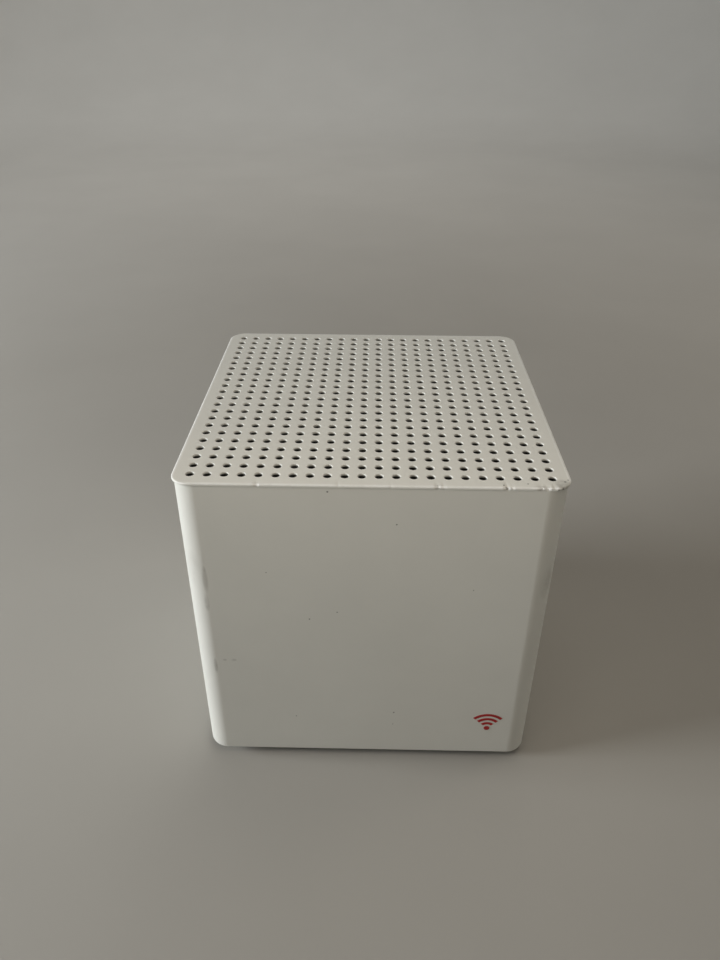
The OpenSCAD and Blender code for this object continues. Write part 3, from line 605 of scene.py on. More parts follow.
# knocks on the front edge of the rim: place along X, half length and depth
KNOCKS = ((-39, 1.2, 0.35), (23, 1.4, 0.4), (25, 1.2, 0.3), (46.6, 1.3, 0.7), (48.2, 0.9, 0.4),
          (58.2, 1.6, 0.4), (60.3, 1.5, 0.75), (62.6, 1.2, 0.6), (65.7, 0.9, 0.4), (68.0, 1.2, 0.35),
          (-11, 0.8, 0.2), (7, 0.6, 0.2))


def knocked(p):
    """A point of the rim, moved inwards and down where the edge has been knocked."""
    if p.y > -COVER_HALF + 2.5 or p.z < TOP - 1.4:
        return p
    amount = 0.0
    for x, half, depth in KNOCKS:
        away = abs(p.x - x) / half
        if away < 1:
            rough = 0.45 + 1.5 * abs(noise.noise(p * 1.5))
            amount = max(amount, depth * (1 - away) * rough)
    edge = min(1.0, max(0.0, (-p.y - COVER_HALF + 2.2) / 1.6))
    return p + Vector((0, 0.75, -0.65)) * amount * edge


def outward(point, half, radius):
    """The point of a rounded square's outline that lies straight out from a point inside it."""
    side = half - radius
    core = Vector((max(-side, min(side, point[0])), max(-side, min(side, point[1]))))
    return core + (Vector(point) - core).normalized() * radius


def vent_middles():
    return [(k - (VENT_COUNT - 1) / 2) * VENT_PITCH for k in range(VENT_COUNT)]


def vents(bm):
    """Each vent in its own square cell, whose border has points at even angles."""
    circle = [(cos(a), sin(a)) for a in angles(HOLE_STEPS)]
    cell = [(VENT_PITCH / 2 / max(abs(c), abs(s)), c, s) for c, s in circle]
    under = TOP - COVER_T
    levels = [(BORE_R + out, TOP - down) for out, down in LIP] + [(BORE_R, under)]
    for x in vent_middles():
        for y in vent_middles():
            borders = [[(x + reach * c, y + reach * s, z) for reach, c, s in cell] for z in (TOP, under)]
            bore = [[(x + r * c, y + r * s, z) for c, s in circle] for r, z in levels]
            loft(bm, [borders[0], *bore, borders[1]], cap=False)


def rim(bm):
    steps = [tan(radians(a)) * VENT_PITCH / 2 for a in (-30, -15, 0, 15, 30, 45)]
    side = [Vector((GRID_HALF, middle + s)) for middle in vent_middles() for s in steps]
    border = [Matrix.Rotation(radians(90 * quarter), 2) @ p for quarter in range(4) for p in side]
    fine = [a.lerp(b, k / RIM_SPLITS)
            for a, b in zip(border, border[1:] + border[:1]) for k in range(RIM_SPLITS)]
    low, turn_r, gap = SLEEVE_HIGH.z, 0.12, 0.2
    curve = [radians(a) for a in (0, 30, 60, 90)]
    profile = [(COVER_HALF - RIM_R - 0.5, TOP)]
    profile += [(COVER_HALF - RIM_R * (1 - sin(a)), TOP - RIM_R * (1 - cos(a))) for a in curve]
    profile += [(COVER_HALF, low + turn_r), (COVER_HALF - turn_r, low)]
    levels = [(half, CORNER_R - (COVER_HALF - half), z) for half, z in profile]
    levels += [(INNER_HALF - gap, INNER_R - gap, z) for z in (low, TOP - COVER_T)]
    rings = [ring(bm, [knocked(Vector((*outward(p, half, radius), z))) for p in fine])
             for half, radius, z in levels]
    for a, b in zip(rings, rings[1:]):
        bridge(bm, a, b)
    for z, outer in ((TOP, rings[0]), (TOP - COVER_T, rings[-1])):
        fans(bm, ring(bm, [(*p, z) for p in border]), outer)


def fans(bm, inner, outer):
    """Joins the vent field's border to a ring with RIM_SPLITS times as many points."""
    middle = RIM_SPLITS // 2
    for i in range(len(inner)):
        j = (i + 1) % len(inner)
        fan = [outer[(i * RIM_SPLITS + k) % len(outer)] for k in range(RIM_SPLITS + 1)]
        for k in range(RIM_SPLITS):
            bm.faces.new((inner[i] if k <= middle else inner[j], fan[k], fan[k + 1]))
        bm.faces.new((inner[i], fan[middle + 1], inner[j]))


def clip(bm):
    """A snap clip that hangs from the cover inside the sleeve's wall."""
    half, thick, drop, catch, catch_h, gap = 5, 1.4, 7.5, 0.8, 2, 0.2
    face, under = INNER_HALF - gap, TOP - COVER_T
    bottom = under - drop
    block(bm, (face - thick, -half, bottom), (face, half, under + 0.1))
    block(bm, (face - gap, -half, bottom + gap), (face + catch, half, bottom + gap + catch_h), 0.5, 3)


def top_cover():
    bm = bmesh.new()
    vents(bm)
    rim(bm)
    bmesh.ops.remove_doubles(bm, verts=bm.verts, dist=WELD)
    quarters(bm, clip)
    piece("cover_plate", bm, "top_cover", "top_cover")


# ---------------- sleeve

QUARTER_ARC = [radians(a) for a in (0, 22.5, 45, 67.5, 90)]
WINDOW_HALF, WINDOW_LOW, WINDOW_HIGH, WINDOW_R = 20, 18, 122, 5


def window_outline(grow):
    """The rear window's outline as (x, z) pairs, from the middle of its top, leftwards."""
    middle, half = (WINDOW_LOW + WINDOW_HIGH) / 2, (WINDOW_HIGH - WINDOW_LOW) / 2 + grow
    points = rounded(WINDOW_HALF + grow, half, WINDOW_R + grow)
    each = len(points) // 4
    points = [(0, half), *points[each:3 * each], (0, -half), *points[3 * each:], *points[:each]]
    return [(x, middle + z) for x, z in points]


def sleeve():
    low, high = SLEEVE_LOW.z, SLEEVE_HIGH.z
    foot_r, head_r, window_r = 0.5, 0.3, 0.6
    profile = [(SLEEVE_HALF - foot_r * (1 - sin(a)), low + foot_r * (1 - cos(a))) for a in QUARTER_ARC]
    profile += [(SLEEVE_HALF - head_r * (1 - cos(a)), high - head_r * (1 - sin(a))) for a in QUARTER_ARC]
    profile += [(INNER_HALF, high), (INNER_HALF, low)]
    bm = bmesh.new()
    rings = []
    for half, z in profile:
        outline = rounded(half, half, SLEEVE_R - (SLEEVE_HALF - half), CORNER_STEPS)
        rings.append(ring(bm, [(*p, z) for p in outline]))
    outer_wall, inner_wall = len(QUARTER_ARC) - 1, len(profile) - 2
    rear_edge = CORNER_STEPS                       # the straight stretch of the outline that faces +Y
    for level, lower in enumerate(rings):
        upper = rings[(level + 1) % len(rings)]
        for i in range(len(lower)):
            if i != rear_edge or level not in (outer_wall, inner_wall):
                j = (i + 1) % len(lower)
                bm.faces.new((lower[i], lower[j], upper[j], upper[i]))
    steps = [(SLEEVE_HALF - window_r * (1 - cos(a)), window_r * (1 - sin(a))) for a in QUARTER_ARC]
    steps.append((INNER_HALF, 0.0))
    frames = [ring(bm, [(x, y, z) for x, z in window_outline(grow)]) for y, grow in steps]
    for a, b in zip(frames, frames[1:]):
        bridge(bm, a, b)
    for edge, level in ((frames[0], outer_wall), (frames[-1], inner_wall)):
        ends = [side[rear_edge + k] for side in (rings[level], rings[level + 1]) for k in (0, 1)]
        ends.sort(key=lambda v: (v.co.x > 0, v.co.z))
        left_low, left_high, right_low, right_high = ends
        half = len(edge) // 2
        bm.faces.new((left_low, left_high, *edge[:half + 1]))
        bm.faces.new((edge[0], left_high, right_high, right_low, left_low, *edge[half:]))
    screw_bosses(bm)
    ribs(bm)
    cut_slots(piece("sleeve_shell", bm, "sleeve", "sleeve"))


def screw_bosses(bm):
    """A screw boss in each lower corner, with two webs to the walls."""
    at, boss_r, bore_r, web = 59, 4.5, 1.5, 1
    base, head = BASE_TOP, BASE_TOP + 17.5
    profile = [(AXLE, head - 3), (bore_r, head - 3), (bore_r, base + 0.3), (bore_r + 0.3, base),
               (boss_r - 0.2, base), (boss_r, base + 0.2), (boss_r, head - 0.6), (boss_r - 0.6, head),
               (AXLE, head)]
    reach, start = INNER_HALF + 0.1, at + boss_r - 0.3
    for sx in (-1, 1):
        for sy in (-1, 1):
            turned(bm, profile, Matrix.Translation((sx * at, sy * at, 0)), 32)
            for low, high in (((start, at - web), (reach, at + web)), ((at - web, start), (at + web, reach))):
                xs, ys = sorted((sx * low[0], sx * high[0])), sorted((sy * low[1], sy * high[1]))
                block(bm, (xs[0], ys[0], base), (xs[1], ys[1], head))


def ribs(bm):
    """Two upright ribs inside each side wall."""
    reach, half_t, low, high = 3, 0.6, 30, 130
    for side in (-1, 1):
        xs = sorted((side * (INNER_HALF - reach), side * (INNER_HALF + 0.1)))
        for y in (-30, 30):
            block(bm, (xs[0], y - half_t, low), (xs[1], y + half_t, high))


def slot_cutter(bm):
    half, depth, height = 6, 0.9, 3
    base = TOP - COVER_T - 7.8
    block(bm, (INNER_HALF - 1, -half, base), (INNER_HALF + depth, half, base + height), 0.3)


def cut_slots(shell):
    """Cuts the four slots that the cover's clips snap into."""
    bm = bmesh.new()
    quarters(bm, slot_cutter)
    mesh = bpy.data.meshes.new("slots")
    bm.to_mesh(mesh)
    bm.free()
    tool = placed("slots", mesh)
    cut = shell.modifiers.new("slots", "BOOLEAN")
    cut.operation = "DIFFERENCE"
    cut.solver = "EXACT"
    cut.object = tool
    shell.modifiers.move(len(shell.modifiers) - 1, 0)
    graph = bpy.context.evaluated_depsgraph_get()
    graph.update()
    made = bpy.data.meshes.new_from_object(shell.evaluated_get(graph), preserve_all_data_layers=True,
                                           depsgraph=graph)
    shell.modifiers.clear()
    shell.data = made
    bpy.data.objects.remove(tool)


# ---------------- pieces that follow the CAD solids

def solids(node):
    """The boxes of a CAD node's separate solids, as (lowest, highest) corners."""
    part = cad_copy(node)
    left, boxes = set(part.verts), []
    while left:
        group, queue = [], [left.pop()]
        while queue:
            vert = queue.pop()
            group.append(vert.co / MM)
            for edge in vert.link_edges:
                other = edge.other_vert(vert)
                if other in left:
                    left.remove(other)
                    queue.append(other)
        boxes.append(tuple(Vector(f(p[k] for p in group) for k in range(3)) for f in (min, max)))
    part.free()
    return sorted(boxes, key=lambda b: tuple(round(c, 2) for c in (b[0] + b[1])))


def screws(name, node, way, head_t, shank_r):
    """Pan-head screws for a CAD node: a domed head with a hex recess, and a threaded shank.
    way is the direction from the head to the tip."""
    bm = bmesh.new()
    way = Vector(way)
    for low, high in solids(node):
        size = high - low
        length = abs(size.dot(way))
        head_r = sorted(size)[1] / 2
        place = along((low + high) / 2 - way * length / 2, way)
        recess, root_r, pitch = 0.36 * head_r, shank_r * 0.84, 0.5
        hexagon = [(recess * 0.9, 0.55 * head_t), (recess, 0.5 * head_t), (recess, 0.06 * head_t)]
        profile = [(recess * 1.15, 0.0), (0.62 * head_r, 0.0), (0.86 * head_r, 0.10 * head_t),
                   (0.97 * head_r, 0.32 * head_t), (head_r, 0.62 * head_t), (head_r, 0.92 * head_t),
                   (0.96 * head_r, head_t), (shank_r, head_t)]
        for k in range(int((length - head_t - 0.8) / pitch)):
            z = head_t + 0.3 + k * pitch
            profile += [(root_r, z), (shank_r, z + pitch / 2)]
        profile += [(root_r, length - 0.5), (shank_r * 0.5, length), (AXLE, length)]
        rings = [[(r / max(cos(a % (pi / 3) - pi / 6), 0.5), a, h) for a in angles(24)]
                 for r, h in hexagon]
        rings += [[(r, a, h) for a in angles(24)] for r, h in profile]
        loft(bm, [[place @ Vector((r * cos(a), r * sin(a), h)) for r, a, h in points] for points in rings])
    piece(name, bm, "screw_steel", node, sharp=30)


def feet():
    bm = bmesh.new()
    for low, high in solids("rubber_feet"):
        middle, r, h = (low + high) / 2, (high.x - low.x) / 2, high.z - low.z
        profile = [(AXLE, 0.25), (r * 0.42, 0.25), (r * 0.46, 0.0), (r - 0.9, 0.0), (r - 0.35, 0.12),
                   (r - 0.06, 0.45), (r, 0.9), (r, h - 0.2), (r - 0.2, h), (AXLE, h)]
        turned(bm, profile, Matrix.Translation((middle.x, middle.y, low.z)), 64)
    piece("rubber_foot_set", bm, "rubber", "rubber_feet")


def label():
    """A blank label with a printed frame and three ruled lines."""
    low, high = box("rating_label")
    middle, size = (low + high) / 2, high - low

    def outline(inset, corner, z):
        points = rounded(size.x / 2 - inset, size.y / 2 - inset, corner)
        return [(middle.x + x, middle.y + y, z) for x, y in points]

    bm = bmesh.new()
    loft(bm, [outline(0, 1.6, z) for z in (low.z, high.z)])
    piece("blank_label", bm, "label", "rating_label")
    bm = bmesh.new()
    ink, line, margin, frame_w, spacing, start, shortest = 0.02, 0.15, 1.2, 0.4, 4.5, -19, 6
    face = low.z - ink
    outer, inner = margin, margin + frame_w
    walls = ((outer, low.z), (outer, face), (inner, face), (inner, low.z))
    rings = loft(bm, [outline(inset, 1.0, z) for inset, z in walls], cap=False)
    bridge(bm, rings[-1], rings[0])
    for k in range(3):
        y, end = middle.y + (k - 1) * spacing, shortest + 4 * k
        block(bm, (middle.x + start, y - line, face), (middle.x + end, y + line, low.z), ink)
    piece("label_print", bm, "panel_marks")


# ---------------- sockets and buttons

def jack_places():
    for i in (1, 2, 3):
        low, high = box(f"lan_jack_{i}")
        yield i, (low.z + high.z) / 2, high


def strip(x, z, half, thick, y):
    """Cross-section of an upright leaf at y, as a ring's four points."""
    return [(x, y, z - half), (x, y, z + half), (x - thick, y, z + half), (x - thick, y, z - half)]


def network_sockets():
    for i, middle, high in jack_places():
        softened(f"socket_body_{i}", f"lan_jack_{i}", "socket_plastic", 0.18)
        bm = bmesh.new()
        soft_copy(bm, f"lan_shield_{i}", 0.12)
        for side in (-1, 1):                          # spring tabs on the two long sides
            for dz in (-4, 4):
                loft(bm, [strip(side * (high.x + 0.34 + 0.28 * sin(pi * t)), middle + dz, 1, side * 0.2,
                                high.y - 1.5 - 7 * t) for t in (k / 6 for k in range(7))])
        piece(f"socket_shield_{i}", bm, "tin_can", f"lan_shield_{i}")
    socket_lights()
    socket_contacts()


def socket_lights():
    """Two light windows beside each socket's latch notch."""
    left, right, near, far, sunk, proud = 4.1, 5.7, 3.9, 6.5, 0.5, 0.12
    bm = bmesh.new()
    for i, z, _ in jack_places():
        face = box(f"lan_shield_{i}")[1].y
        for side in (-1, 1):
            a, b = sorted((z + side * near, z + side * far))
            block(bm, (left, face - sunk, a), (right, face + proud, b), 0.14)
    piece("link_lights", bm, "led_white")


def socket_contacts():
    """Eight sprung wires in each socket, bent back over the pocket in its floor."""
    pitch, half, count = 1.02, 0.18, 8
    shape = [Vector(p) for p in ((-5.15, -2.6), (-5.1, -3.4), (-4.9, -4.2), (-4.4, -7.0), (-3.9, -9.8),
                                 (-3.75, -11.2), (-3.85, -12.6), (-4.3, -13.4))]
    bm = bmesh.new()
    for _, middle, high in jack_places():
        for k in range(count):
            z = middle + (k - (count - 1) / 2) * pitch
            rows = []
            for n, point in enumerate(shape):
                way = (shape[min(n + 1, len(shape) - 1)] - shape[max(n - 1, 0)]).normalized()
                across = Vector((-way.y, way.x)) * half
                centre = point + Vector((0, high.y))
                p, q = centre + across, centre - across
                rows.append([(*p, z - half), (*p, z + half), (*q, z + half), (*q, z - half)])
            loft(bm, rows)
    piece("contact_wires", bm, "gold_contact", "lan_contacts", sharp=50)


def power_inlet():
    softened("inlet_body", "dc_jack", "socket_plastic", 0.22)
    low, high = box("dc_pin")
    z, wide, pin = (low.z + high.z) / 2, (high.z - low.z) / 2, 1.0
    length, shoulder = high.y - low.y, PANEL_FACE - 9.5 - low.y
    profile = [(AXLE, 0), (wide, 0), (wide, shoulder - 0.2), (wide - 0.2, shoulder), (pin, shoulder),
               (pin, length - 0.6), (pin * 0.93, length - 0.3), (pin * 0.72, length - 0.08),
               (pin * 0.4, length), (AXLE, length)]
    bm = bmesh.new()
    turned(bm, profile, along((0, low.y, z), (0, 1, 0)), 40)
    piece("inlet_pin", bm, "shaft_steel", "dc_pin")
    bm = bmesh.new()                                  # leaf contact along the side of the bore
    loft(bm, [strip(2.95 - 0.45 * sin(pi * t), z, 0.7, 0.18, PANEL_FACE - 2.2 - 6.5 * t)
              for t in (k / 8 for k in range(9))])
    piece("inlet_spring", bm, "gold_contact", sharp=50)


def cap_button(name, node, stem_r, cap_r):
    """A push button: a stem, a flange behind the panel and a slightly dished cap."""
    low, high = box(node)
    z, length, edge, soft = (low.z + high.z) / 2, high.y - low.y, 0.55, 0.15
    flange_r = (high.z - low.z) / 2
    back = PANEL_BACK - 1.5 - low.y                   # where the flange starts and ends along the button
    front = back + 1.4
    profile = [(AXLE, 0), (stem_r - 0.2, 0), (stem_r, 0.2), (stem_r, back), (flange_r - soft, back),
               (flange_r, back + soft), (flange_r, front - soft), (flange_r - soft, front), (cap_r, front)]
    for a in (radians(18 * k) for k in range(6)):
        profile.append((cap_r - edge * (1 - cos(a)), length - edge * (1 - sin(a))))
    profile += [(cap_r * 0.74, length - 0.02), (cap_r * 0.5, length - 0.16), (cap_r * 0.25, length - 0.25),
                (AXLE, length - 0.28)]
    bm = bmesh.new()
    turned(bm, profile, along((0, low.y, z), (0, 1, 0)), 64)
    piece(name, bm, "button_white", node, node, 30)


def buttons():
    cap_button("power_cap", "power_button", 1.6, 4.0)
    cap_button("pairing_cap", "pair_button", 1.2, 3.5)
    softened("reset_rod", "reset_button", "button_white", 0.15, body="reset_button")
    for name in ("power", "pair", "reset"):
        softened(f"{name}_switch_body", f"{name}_switch", "switch_plastic", 0.2)


# ---------------- circuit board

def board():
    softened("circuit_board", "main_board", "board", 0.08)
    softened("coax_receptacles", "coax_sockets", "gold_contact", 0.06)
    dot = [(AXLE, -0.03), (0.45, -0.03), (0.5, 0.02), (AXLE, 0.02)]
    for name, node in (("processor_package", "processor"), ("memory_packages", "memory_chips")):
        bm = bmesh.new()
        for low, high in solids(node):
            block(bm, low, high, 0.12)
            turned(bm, dot, along((low.x, low.y + 1.6, high.z - 1.6), (1, 0, 0)), 24)
        piece(name, bm, "chip", node)
    cans()
    power_supply()
    for name, node in (("processor_thermal_pad", "processor_pad"), ("radio_thermal_pads", "radio_pads")):
        bm = bmesh.new()
        for low, high in solids(node):
            block(bm, low, high, 0.3, 3)
        piece(name, bm, "thermal_pad", node)
    small_parts()


def cans():
    """Pressed shield cans: a fence soldered to the board and a lid with a row of dimples."""
    fence, inset, count = 0.25, 1.6, 7
    dimple = [(0.5, -0.02), (0.42, 0.0), (0.2, 0.03), (AXLE, 0.04)]
    bm = bmesh.new()
    for low, high in solids("shield_cans"):
        block(bm, low, (low.x + 0.9, high.y, high.z), 0.1)
        block(bm, (low.x + 0.7, low.y + fence, low.z + fence),
              (high.x, high.y - fence, high.z - fence), 0.35, 3)
        for k in range(count):
            y = low.y + (high.y - low.y) * (k + 1) / (count + 1)
            for z in (low.z + inset, high.z - inset):
                turned(bm, dimple, along((high.x - 0.02, y, z), (1, 0, 0)), 16)
    piece("radio_shield_cans", bm, "tin_can", "shield_cans")


def power_supply():
    """Electrolytic capacitors with scored tops, and wound chokes in ferrite boxes."""
    cap_bm, choke_bm = bmesh.new(), bmesh.new()
    for low, high in solids("power_parts"):
        middle, h, r = (low + high) / 2, high.x - low.x, (high.y - low.y) / 2
        place = along((low.x, middle.y, middle.z), (1, 0, 0))
        neck = r - 0.35
        if h > r * 1.5:
            profile = [(AXLE, 0), (r - 0.3, 0), (r, 0.3), (r, 1.2), (neck, 1.6), (neck, 1.9), (r, 2.3),
                       (r, h - 0.5), (r - 0.15, h - 0.12), (r - 0.5, h), (r - 0.8, h - 0.08),
                       (AXLE, h - 0.08)]
            turned(cap_bm, profile, place, 40)
        else:
            block(choke_bm, low, high, 0.5, 3)
            profile = [(0.6 * r, h - 0.05), (0.62 * r, h), (0.5 * r, h + 0.02), (AXLE, h)]
            turned(choke_bm, profile, place, 32)
    piece("supply_capacitors", cap_bm, "power_parts", "power_parts")
    piece("supply_chokes", choke_bm, "chip")


BUSY_NODES = ("shield_cans", "power_parts", "coax_sockets", "lan_jack_1", "lan_jack_2", "lan_jack_3",
              "dc_jack", "power_switch", "pair_switch", "reset_switch", "fan_plug", "board_screws",
              "heat_sink_screws", "processor", "memory_chips", "status_led")
# small parts: kind, length, width and height
SMALL_PARTS = (("resistor", 1.6, 0.8, 0.45), ("capacitor", 1.6, 0.8, 0.8), ("package", 3.0, 3.0, 0.9))


def small_parts():
    """Chip resistors, chip capacitors and small packages on the free stretches of both board faces."""
    low, high = box("main_board")
    gap, spacing, edge, tries = 0.9, 0.5, 4, 420
    lowest, rearmost = 30, high.y - 12
    busy = [corners for node in BUSY_NODES for corners in solids(node)]
    meshes = {kind: bmesh.new() for kind in ("resistor", "capacitor", "package", "solder")}
    draw = random.Random(7)
    taken = []
    for side, face in ((1, high.x), (-1, low.x)):
        for _ in range(tries):
            kind, long, wide, tall = draw.choices(SMALL_PARTS, (5, 6, 1))[0]
            half = [long / 2, wide / 2]
            if draw.random() < 0.5:
                half.reverse()
            y = round(draw.uniform(low.y + edge, rearmost) * 2) / 2
            z = round(draw.uniform(lowest, high.z - edge) * 2) / 2
            dy, dz = half
            clear = all(y + dy + gap < a.y or y - dy - gap > b.y or z + dz + gap < a.z or z - dz - gap > b.z
                        or (side > 0) != (a.x + b.x > low.x + high.x) for a, b in busy)
            free = all(s != side or abs(y - ty) > dy + th + spacing or abs(z - tz) > dz + tv + spacing
                       for s, ty, tz, th, tv in taken)
            if not (clear and free):
                continue
            taken.append((side, y, z, dy, dz))
            xs = sorted((face, face + side * tall))
            block(meshes[kind], (xs[0], y - dy, z - dz), (xs[1], y + dy, z + dz), 0.08, 1)
            if kind == "package":
                legs(meshes["solder"], face, side, y, z, dz)
            else:
                end_caps(meshes["solder"], xs, y, z, dy, dz)
    piece("chip_resistors", meshes["resistor"], "chip")
    piece("chip_capacitors", meshes["capacitor"], "chip", look="ceramic")
    piece("small_packages", meshes["package"], "chip")
    piece("solder_ends", meshes["solder"], "tin_can")


def end_caps(bm, xs, y, z, dy, dz):
    """Tinned ends round a two-ended part."""
    skin, wide = 0.03, 0.3
    for side in (-1, 1):
        if dy > dz:
            a, b = sorted((y + side * (dy + skin), y + side * (dy - wide)))
            low, high = (a, z - dz - skin), (b, z + dz + skin)
        else:
            a, b = sorted((z + side * (dz + skin), z + side * (dz - wide)))
            low, high = (y - dy - skin, a), (y + dy + skin, b)
        block(bm, (xs[0] - skin, *low), (xs[1] + skin, *high), 0.05, 1)


def legs(bm, face, side, y, z, dz):
    """Rows of short leads along two sides of a small package."""
    thick, half_w, pitch = 0.2, 0.12, 0.5
    xs = sorted((face, face + side * thick))
    for middle in (y + k * pitch for k in range(-2, 3)):
        for end in (-1, 1):
            a, b = sorted((z + end * (dz - 0.1), z + end * (dz + 0.45)))
            block(bm, (xs[0], middle - half_w, a), (xs[1], middle + half_w, b), 0.04, 1)


# ---------------- fan

HUB_R = 16.5
BLADE_R = 37.2
BLADE_COUNT = 7


def rotor():
    """A cup-shaped hub with seven cambered and twisted blades."""
    low, high = (corner.z for corner in box("fan_rotor"))
    shaft, boss, wall = 1.5, 3, 1.5
    inside, floor, soft, dish = HUB_R - wall, low + wall, 0.15, 0.25
    profile = [(shaft, floor + 1), (boss, floor + 1), (boss, floor), (inside - 0.4, floor),
               (inside, floor + 0.4), (inside, high - soft), (inside + soft, high), (HUB_R - soft, high),
               (HUB_R, high - soft), (HUB_R, low + 1.6), (HUB_R - 0.25, low + 0.8), (HUB_R - 0.8, low + 0.25),
               (HUB_R - 1.6, low), (10, low), (9.6, low + dish), (AXLE, low + dish), (AXLE, low + 0.7),
               (shaft, low + 0.7)]
    bm = bmesh.new()
    turned(bm, profile + profile[:1], Matrix.Identity(4), 72)
    bmesh.ops.remove_doubles(bm, verts=bm.verts, dist=WELD)
    for start in angles(BLADE_COUNT):
        blade(bm, start, (low + high) / 2)
    piece("fan_wheel", bm, "fan_plastic", "fan_rotor", "fan_rotor")


def blade(bm, start, middle):
    stations, around = 11, 12
    rings = []
    for t in (s / (stations - 1) for s in range(stations)):
        r = (HUB_R - 0.4) * (1 - t) + BLADE_R * t
        chord = 13.2 + 2.4 * t
        pitch = radians(47 - 17 * t)
        sweep = radians(-7 * t * t)
        points = []
        for k in range(2 * around):
            c = cos(pi * k / around) / 2               # from 0.5 at one edge to -0.5 at the other
            side = 1 if k <= around else -1
            bow = max(0.0, 1 - (2 * c) ** 2)
            across = (0.62 - 0.18 * t) * sqrt(bow) * side + 1.1 * bow - 0.55
            slide = c * chord * cos(pitch) - across * sin(pitch)
            lift = c * chord * sin(pitch) + across * cos(pitch)
            a = start + sweep + slide / r
            points.append((r * cos(a), r * sin(a), middle + lift))
        rings.append(points)
    loft(bm, rings)


def fan():
    rotor()
    softened("fan_housing", "fan_frame", "fan_plastic", 0.3)
    for name, node, slot, body in (("magnet_ring", "fan_magnet", "magnet", "fan_rotor"),
                                   ("rotor_shaft", "fan_shaft", "shaft_steel", "fan_rotor"),
                                   ("bearing_bush", "fan_bearing", "bearing_bronze", "housing")):
        softened(name, node, slot, 0.12, body)
    softened("stator_core", "fan_stator", "tin_can", 0.1)
    bm = bmesh.new()
    quarters(bm, winding)
    bmesh.ops.rotate(bm, matrix=Matrix.Rotation(radians(45), 3, "Z"), verts=bm.verts)
    piece("stator_windings", bm, "winding")
    low, high = box("fan_plug")
    bm = bmesh.new()
    block(bm, low, high, 0.25)
    for k in range(3):
        y = low.y + (high.y - low.y) * (k + 0.5) / 3
        block(bm, (high.x - 0.05, y - 0.8, low.z + 1.4), (high.x + 0.35, y + 0.8, high.z - 1.4), 0.1)
    piece("fan_connector", bm, "plug_ivory", "fan_plug")
    wires()


def winding(bm):
    """Close turns of wire round the stator's pole on the +X side, fullest in the middle."""
    middle = sum(corner.z for corner in box("fan_stator")) / 2
    turns, steps, wire, square = 6, 24, 0.3, 0.35
    for k in range(turns):
        x = 6.9 + 0.56 * k
        grow = 0.55 + 0.25 * sin(pi * (k + 0.5) / turns)
        rings = []
        for a in angles(steps):
            y, z = (size * copysign(abs(f) ** square, f)
                    for size, f in ((2.4 + grow, cos(a)), (2.6 + grow, sin(a))))
            out = Vector((0, y, z)).normalized()
            rings.append(ring(bm, [Vector((x, y, middle + z)) + wire * (cos(b) * Vector((1, 0, 0))
                                                                      + sin(b) * out) for b in angles(8)]))
        for a, b in zip(rings, rings[1:] + rings[:1]):
            bridge(bm, a, b)


# ---------------- leads

COAX_X = -4.8
CABLE_ROUTES = {
    "left": ((COAX_X, -16, 116), (COAX_X, -16, 121), (-8, -15, 126.5), (-22, -10, 129), (-44, -4, 128.2),
             (-53, -1, 128.4), (-55.8, 0, 125.5), (-55.5, 0, 120), (-55.5, 0, 112)),
    "right": ((COAX_X, -2, 116), (COAX_X, -2, 121), (0, -2, 126), (18, -1, 128.6), (44, 0, 128.2),
              (53, 0, 128.4), (55.8, 0, 125.5), (55.5, 0, 120), (55.5, 0, 112)),
    "front": ((COAX_X, -30, 116), (COAX_X, -30, 121), (0, -33, 126), (10, -40, 128.6), (20, -48, 128.6),
              (24, -53, 128.4), (24, -55.8, 125.5), (24, -55.5, 120), (24, -55.5, 112)),
    "rear": ((COAX_X, 12, 116), (COAX_X, 13, 121), (0, 18, 126), (12, 30, 128.4), (22, 44, 128.2),
             (24, 53, 128.4), (24, 55.8, 125.5), (24, 55.5, 120), (24, 55.5, 112)),
}
FAN_ROUTE = ((9, 9, 24.4), (14, 14, 24.5), (13, 20, 26), (9, 25, 30), (4, 26, 32.5), (-2.8, 26, 32.5))


def smooth_path(route, steps):
    """Catmull-Rom curve through a route."""
    points = [Vector(p) for p in route]
    path = []
    for i in range(len(points) - 1):
        a, b, c = points[max(i - 1, 0)], points[i], points[i + 1]
        d = points[min(i + 2, len(points) - 1)]
        for t in (s / steps for s in range(steps)):
            path.append(0.5 * (2 * b + (c - a) * t + (2 * a - 5 * b + 4 * c - d) * t * t
                               + (3 * b - a - 3 * c + d) * t ** 3))
    return path + [points[-1]]


def swept(bm, path, radius, sides=14, offset=None):
    """A round tube along a path; offset(i) may shift each ring sideways by (u, v)."""
    up = Vector((0.31, 0.27, 0.91)).normalized()
    rings = []
    for i, p in enumerate(path):
        way = (path[min(i + 1, len(path) - 1)] - path[max(i - 1, 0)]).normalized()
        u = way.cross(up).normalized()
        v = way.cross(u)
        up = v if v.dot(up) > 0 else -v
        move = offset(i) if offset else (0, 0)
        centre = p + u * move[0] + v * move[1]
        rings.append([centre + radius * (u * cos(a) + v * sin(a)) for a in angles(sides)])
    loft(bm, rings)


def antenna_leads():
    plug = [(AXLE, 0), (1.35, 0), (1.5, 0.15), (1.5, 1.1), (1.25, 1.5), (0.5, 1.6), (AXLE, 1.55)]
    for side in SIDES:
        bm = bmesh.new()
        path = smooth_path(CABLE_ROUTES[side], 8)
        swept(bm, path, 0.6)
        swept(bm, path[-5:], 0.68)                      # stripped end, tinned to the antenna
        turned(bm, plug, along(path[0] - Vector((0.8, 0, 0)), (1, 0, 0)), 32)
        piece(f"coax_lead_{side}", bm, "coax_grey", f"antenna_cable_{side}")


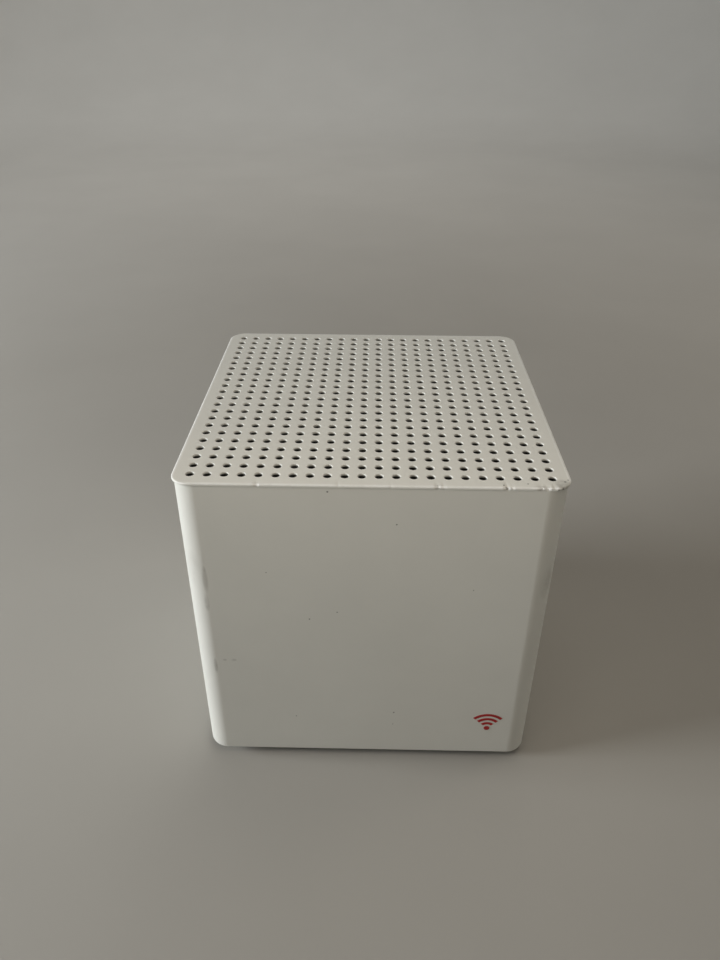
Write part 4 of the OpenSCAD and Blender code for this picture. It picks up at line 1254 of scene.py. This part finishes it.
def wires():
    """Three thin wires, lightly twisted together."""
    path = smooth_path(FAN_ROUTE, 12)
    for k, look in enumerate(("lead_black", "lead_red", "lead_yellow")):

        def twist(i, k=k):
            a = 2 * pi * (i / 22 + k / 3)
            return 0.42 * cos(a), 0.42 * sin(a)

        bm = bmesh.new()
        swept(bm, path, 0.36, 10, twist)
        piece(f"fan_wire_{k + 1}", bm, "lead_black", None if k else "fan_lead", look=look)


# ---------------- antennas and light

def antennas():
    for side in SIDES:
        node = f"antenna_{side}"
        softened(f"antenna_board_{side}", node, "antenna_board", 0.08)
        low, high = box(node)
        middle, size = (low + high) / 2, high - low
        thin = 0 if size.x < size.y else 1
        wide = 1 - thin
        outside = 1 if middle[thin] > 0 else -1
        face = (high if outside > 0 else low)[thin]
        bm = bmesh.new()

        def copper(a0, z0, a1, z1):
            """A copper strip on the antenna's face, measured from its middle and its foot."""
            lo, hi = [0, 0, low.z + z0], [0, 0, low.z + z1]
            lo[wide], hi[wide] = middle[wide] + a0, middle[wide] + a1
            lo[thin], hi[thin] = sorted((face - outside * 0.02, face + outside * 0.05))
            block(bm, lo, hi, 0.02, 1)

        copper(-7, 3, 7, 16)
        copper(-1, 15.9, 1, 24)
        for k in range(5):                               # meander above the ground patch
            z = 24 + k * 5
            copper(-6, z, 6, z + 1)
            a, b = (5, 6) if k % 2 == 0 else (-6, -5)
            copper(a, z + 0.9, b, z + 5.1)
        copper(-6, 49, 6, 50)
        piece(f"antenna_trace_{side}", bm, "antenna_board", look="gold_contact")


def status_light():
    low, high = box("status_led")
    middle = (low + high) / 2
    bm = bmesh.new()
    block(bm, low, high, 0.15)
    dome = [(AXLE, -0.2), (0.8, -0.2), (0.8, 0.0), (0.7, 0.1), (0.4, 0.2), (AXLE, 0.25)]
    turned(bm, dome, along((middle.x, low.y, middle.z), (0, -1, 0)), 24)
    piece("status_lamp", bm, "led_white", "status_led")
    softened("light_pipe", "light_guide", "light_guide", 0.2)


# ---------------- build

camera()
stage()
lights()
top_cover()
sleeve()
feet()
label()
softened("base_tray", "base_plate", "base_plate", 0.25)
softened("socket_panel", "rear_panel", "rear_panel", 0.3)
softened("inner_frame", "chassis", "chassis", 0.35)
softened("fin_block", "heat_sink", "heat_sink", 0.18)
softened("radio_fin_block", "radio_heat_sink", "heat_sink", 0.18)
screws("base_screw_set", "base_screws", (0, 0, 1), 1.8, 1.4)
screws("chassis_screw_set", "chassis_screws", (0, 0, 1), 1.5, 1.4)
screws("panel_screw_set", "panel_screws", (0, 1, 0), 2.0, 1.2)
screws("board_screw_set", "board_screws", (-1, 0, 0), 1.8, 1.2)
screws("fan_screw_set", "fan_screws", (0, 0, -1), 2.2, 1.8)
network_sockets()
power_inlet()
buttons()
board()
fan()
antenna_leads()
antennas()
status_light()

for row in frame["record"]["subparts"]:
    data = nodes[row["node"]].data
    data.materials.clear()
    data.materials.append(MATERIALS[row["material_slot"]])
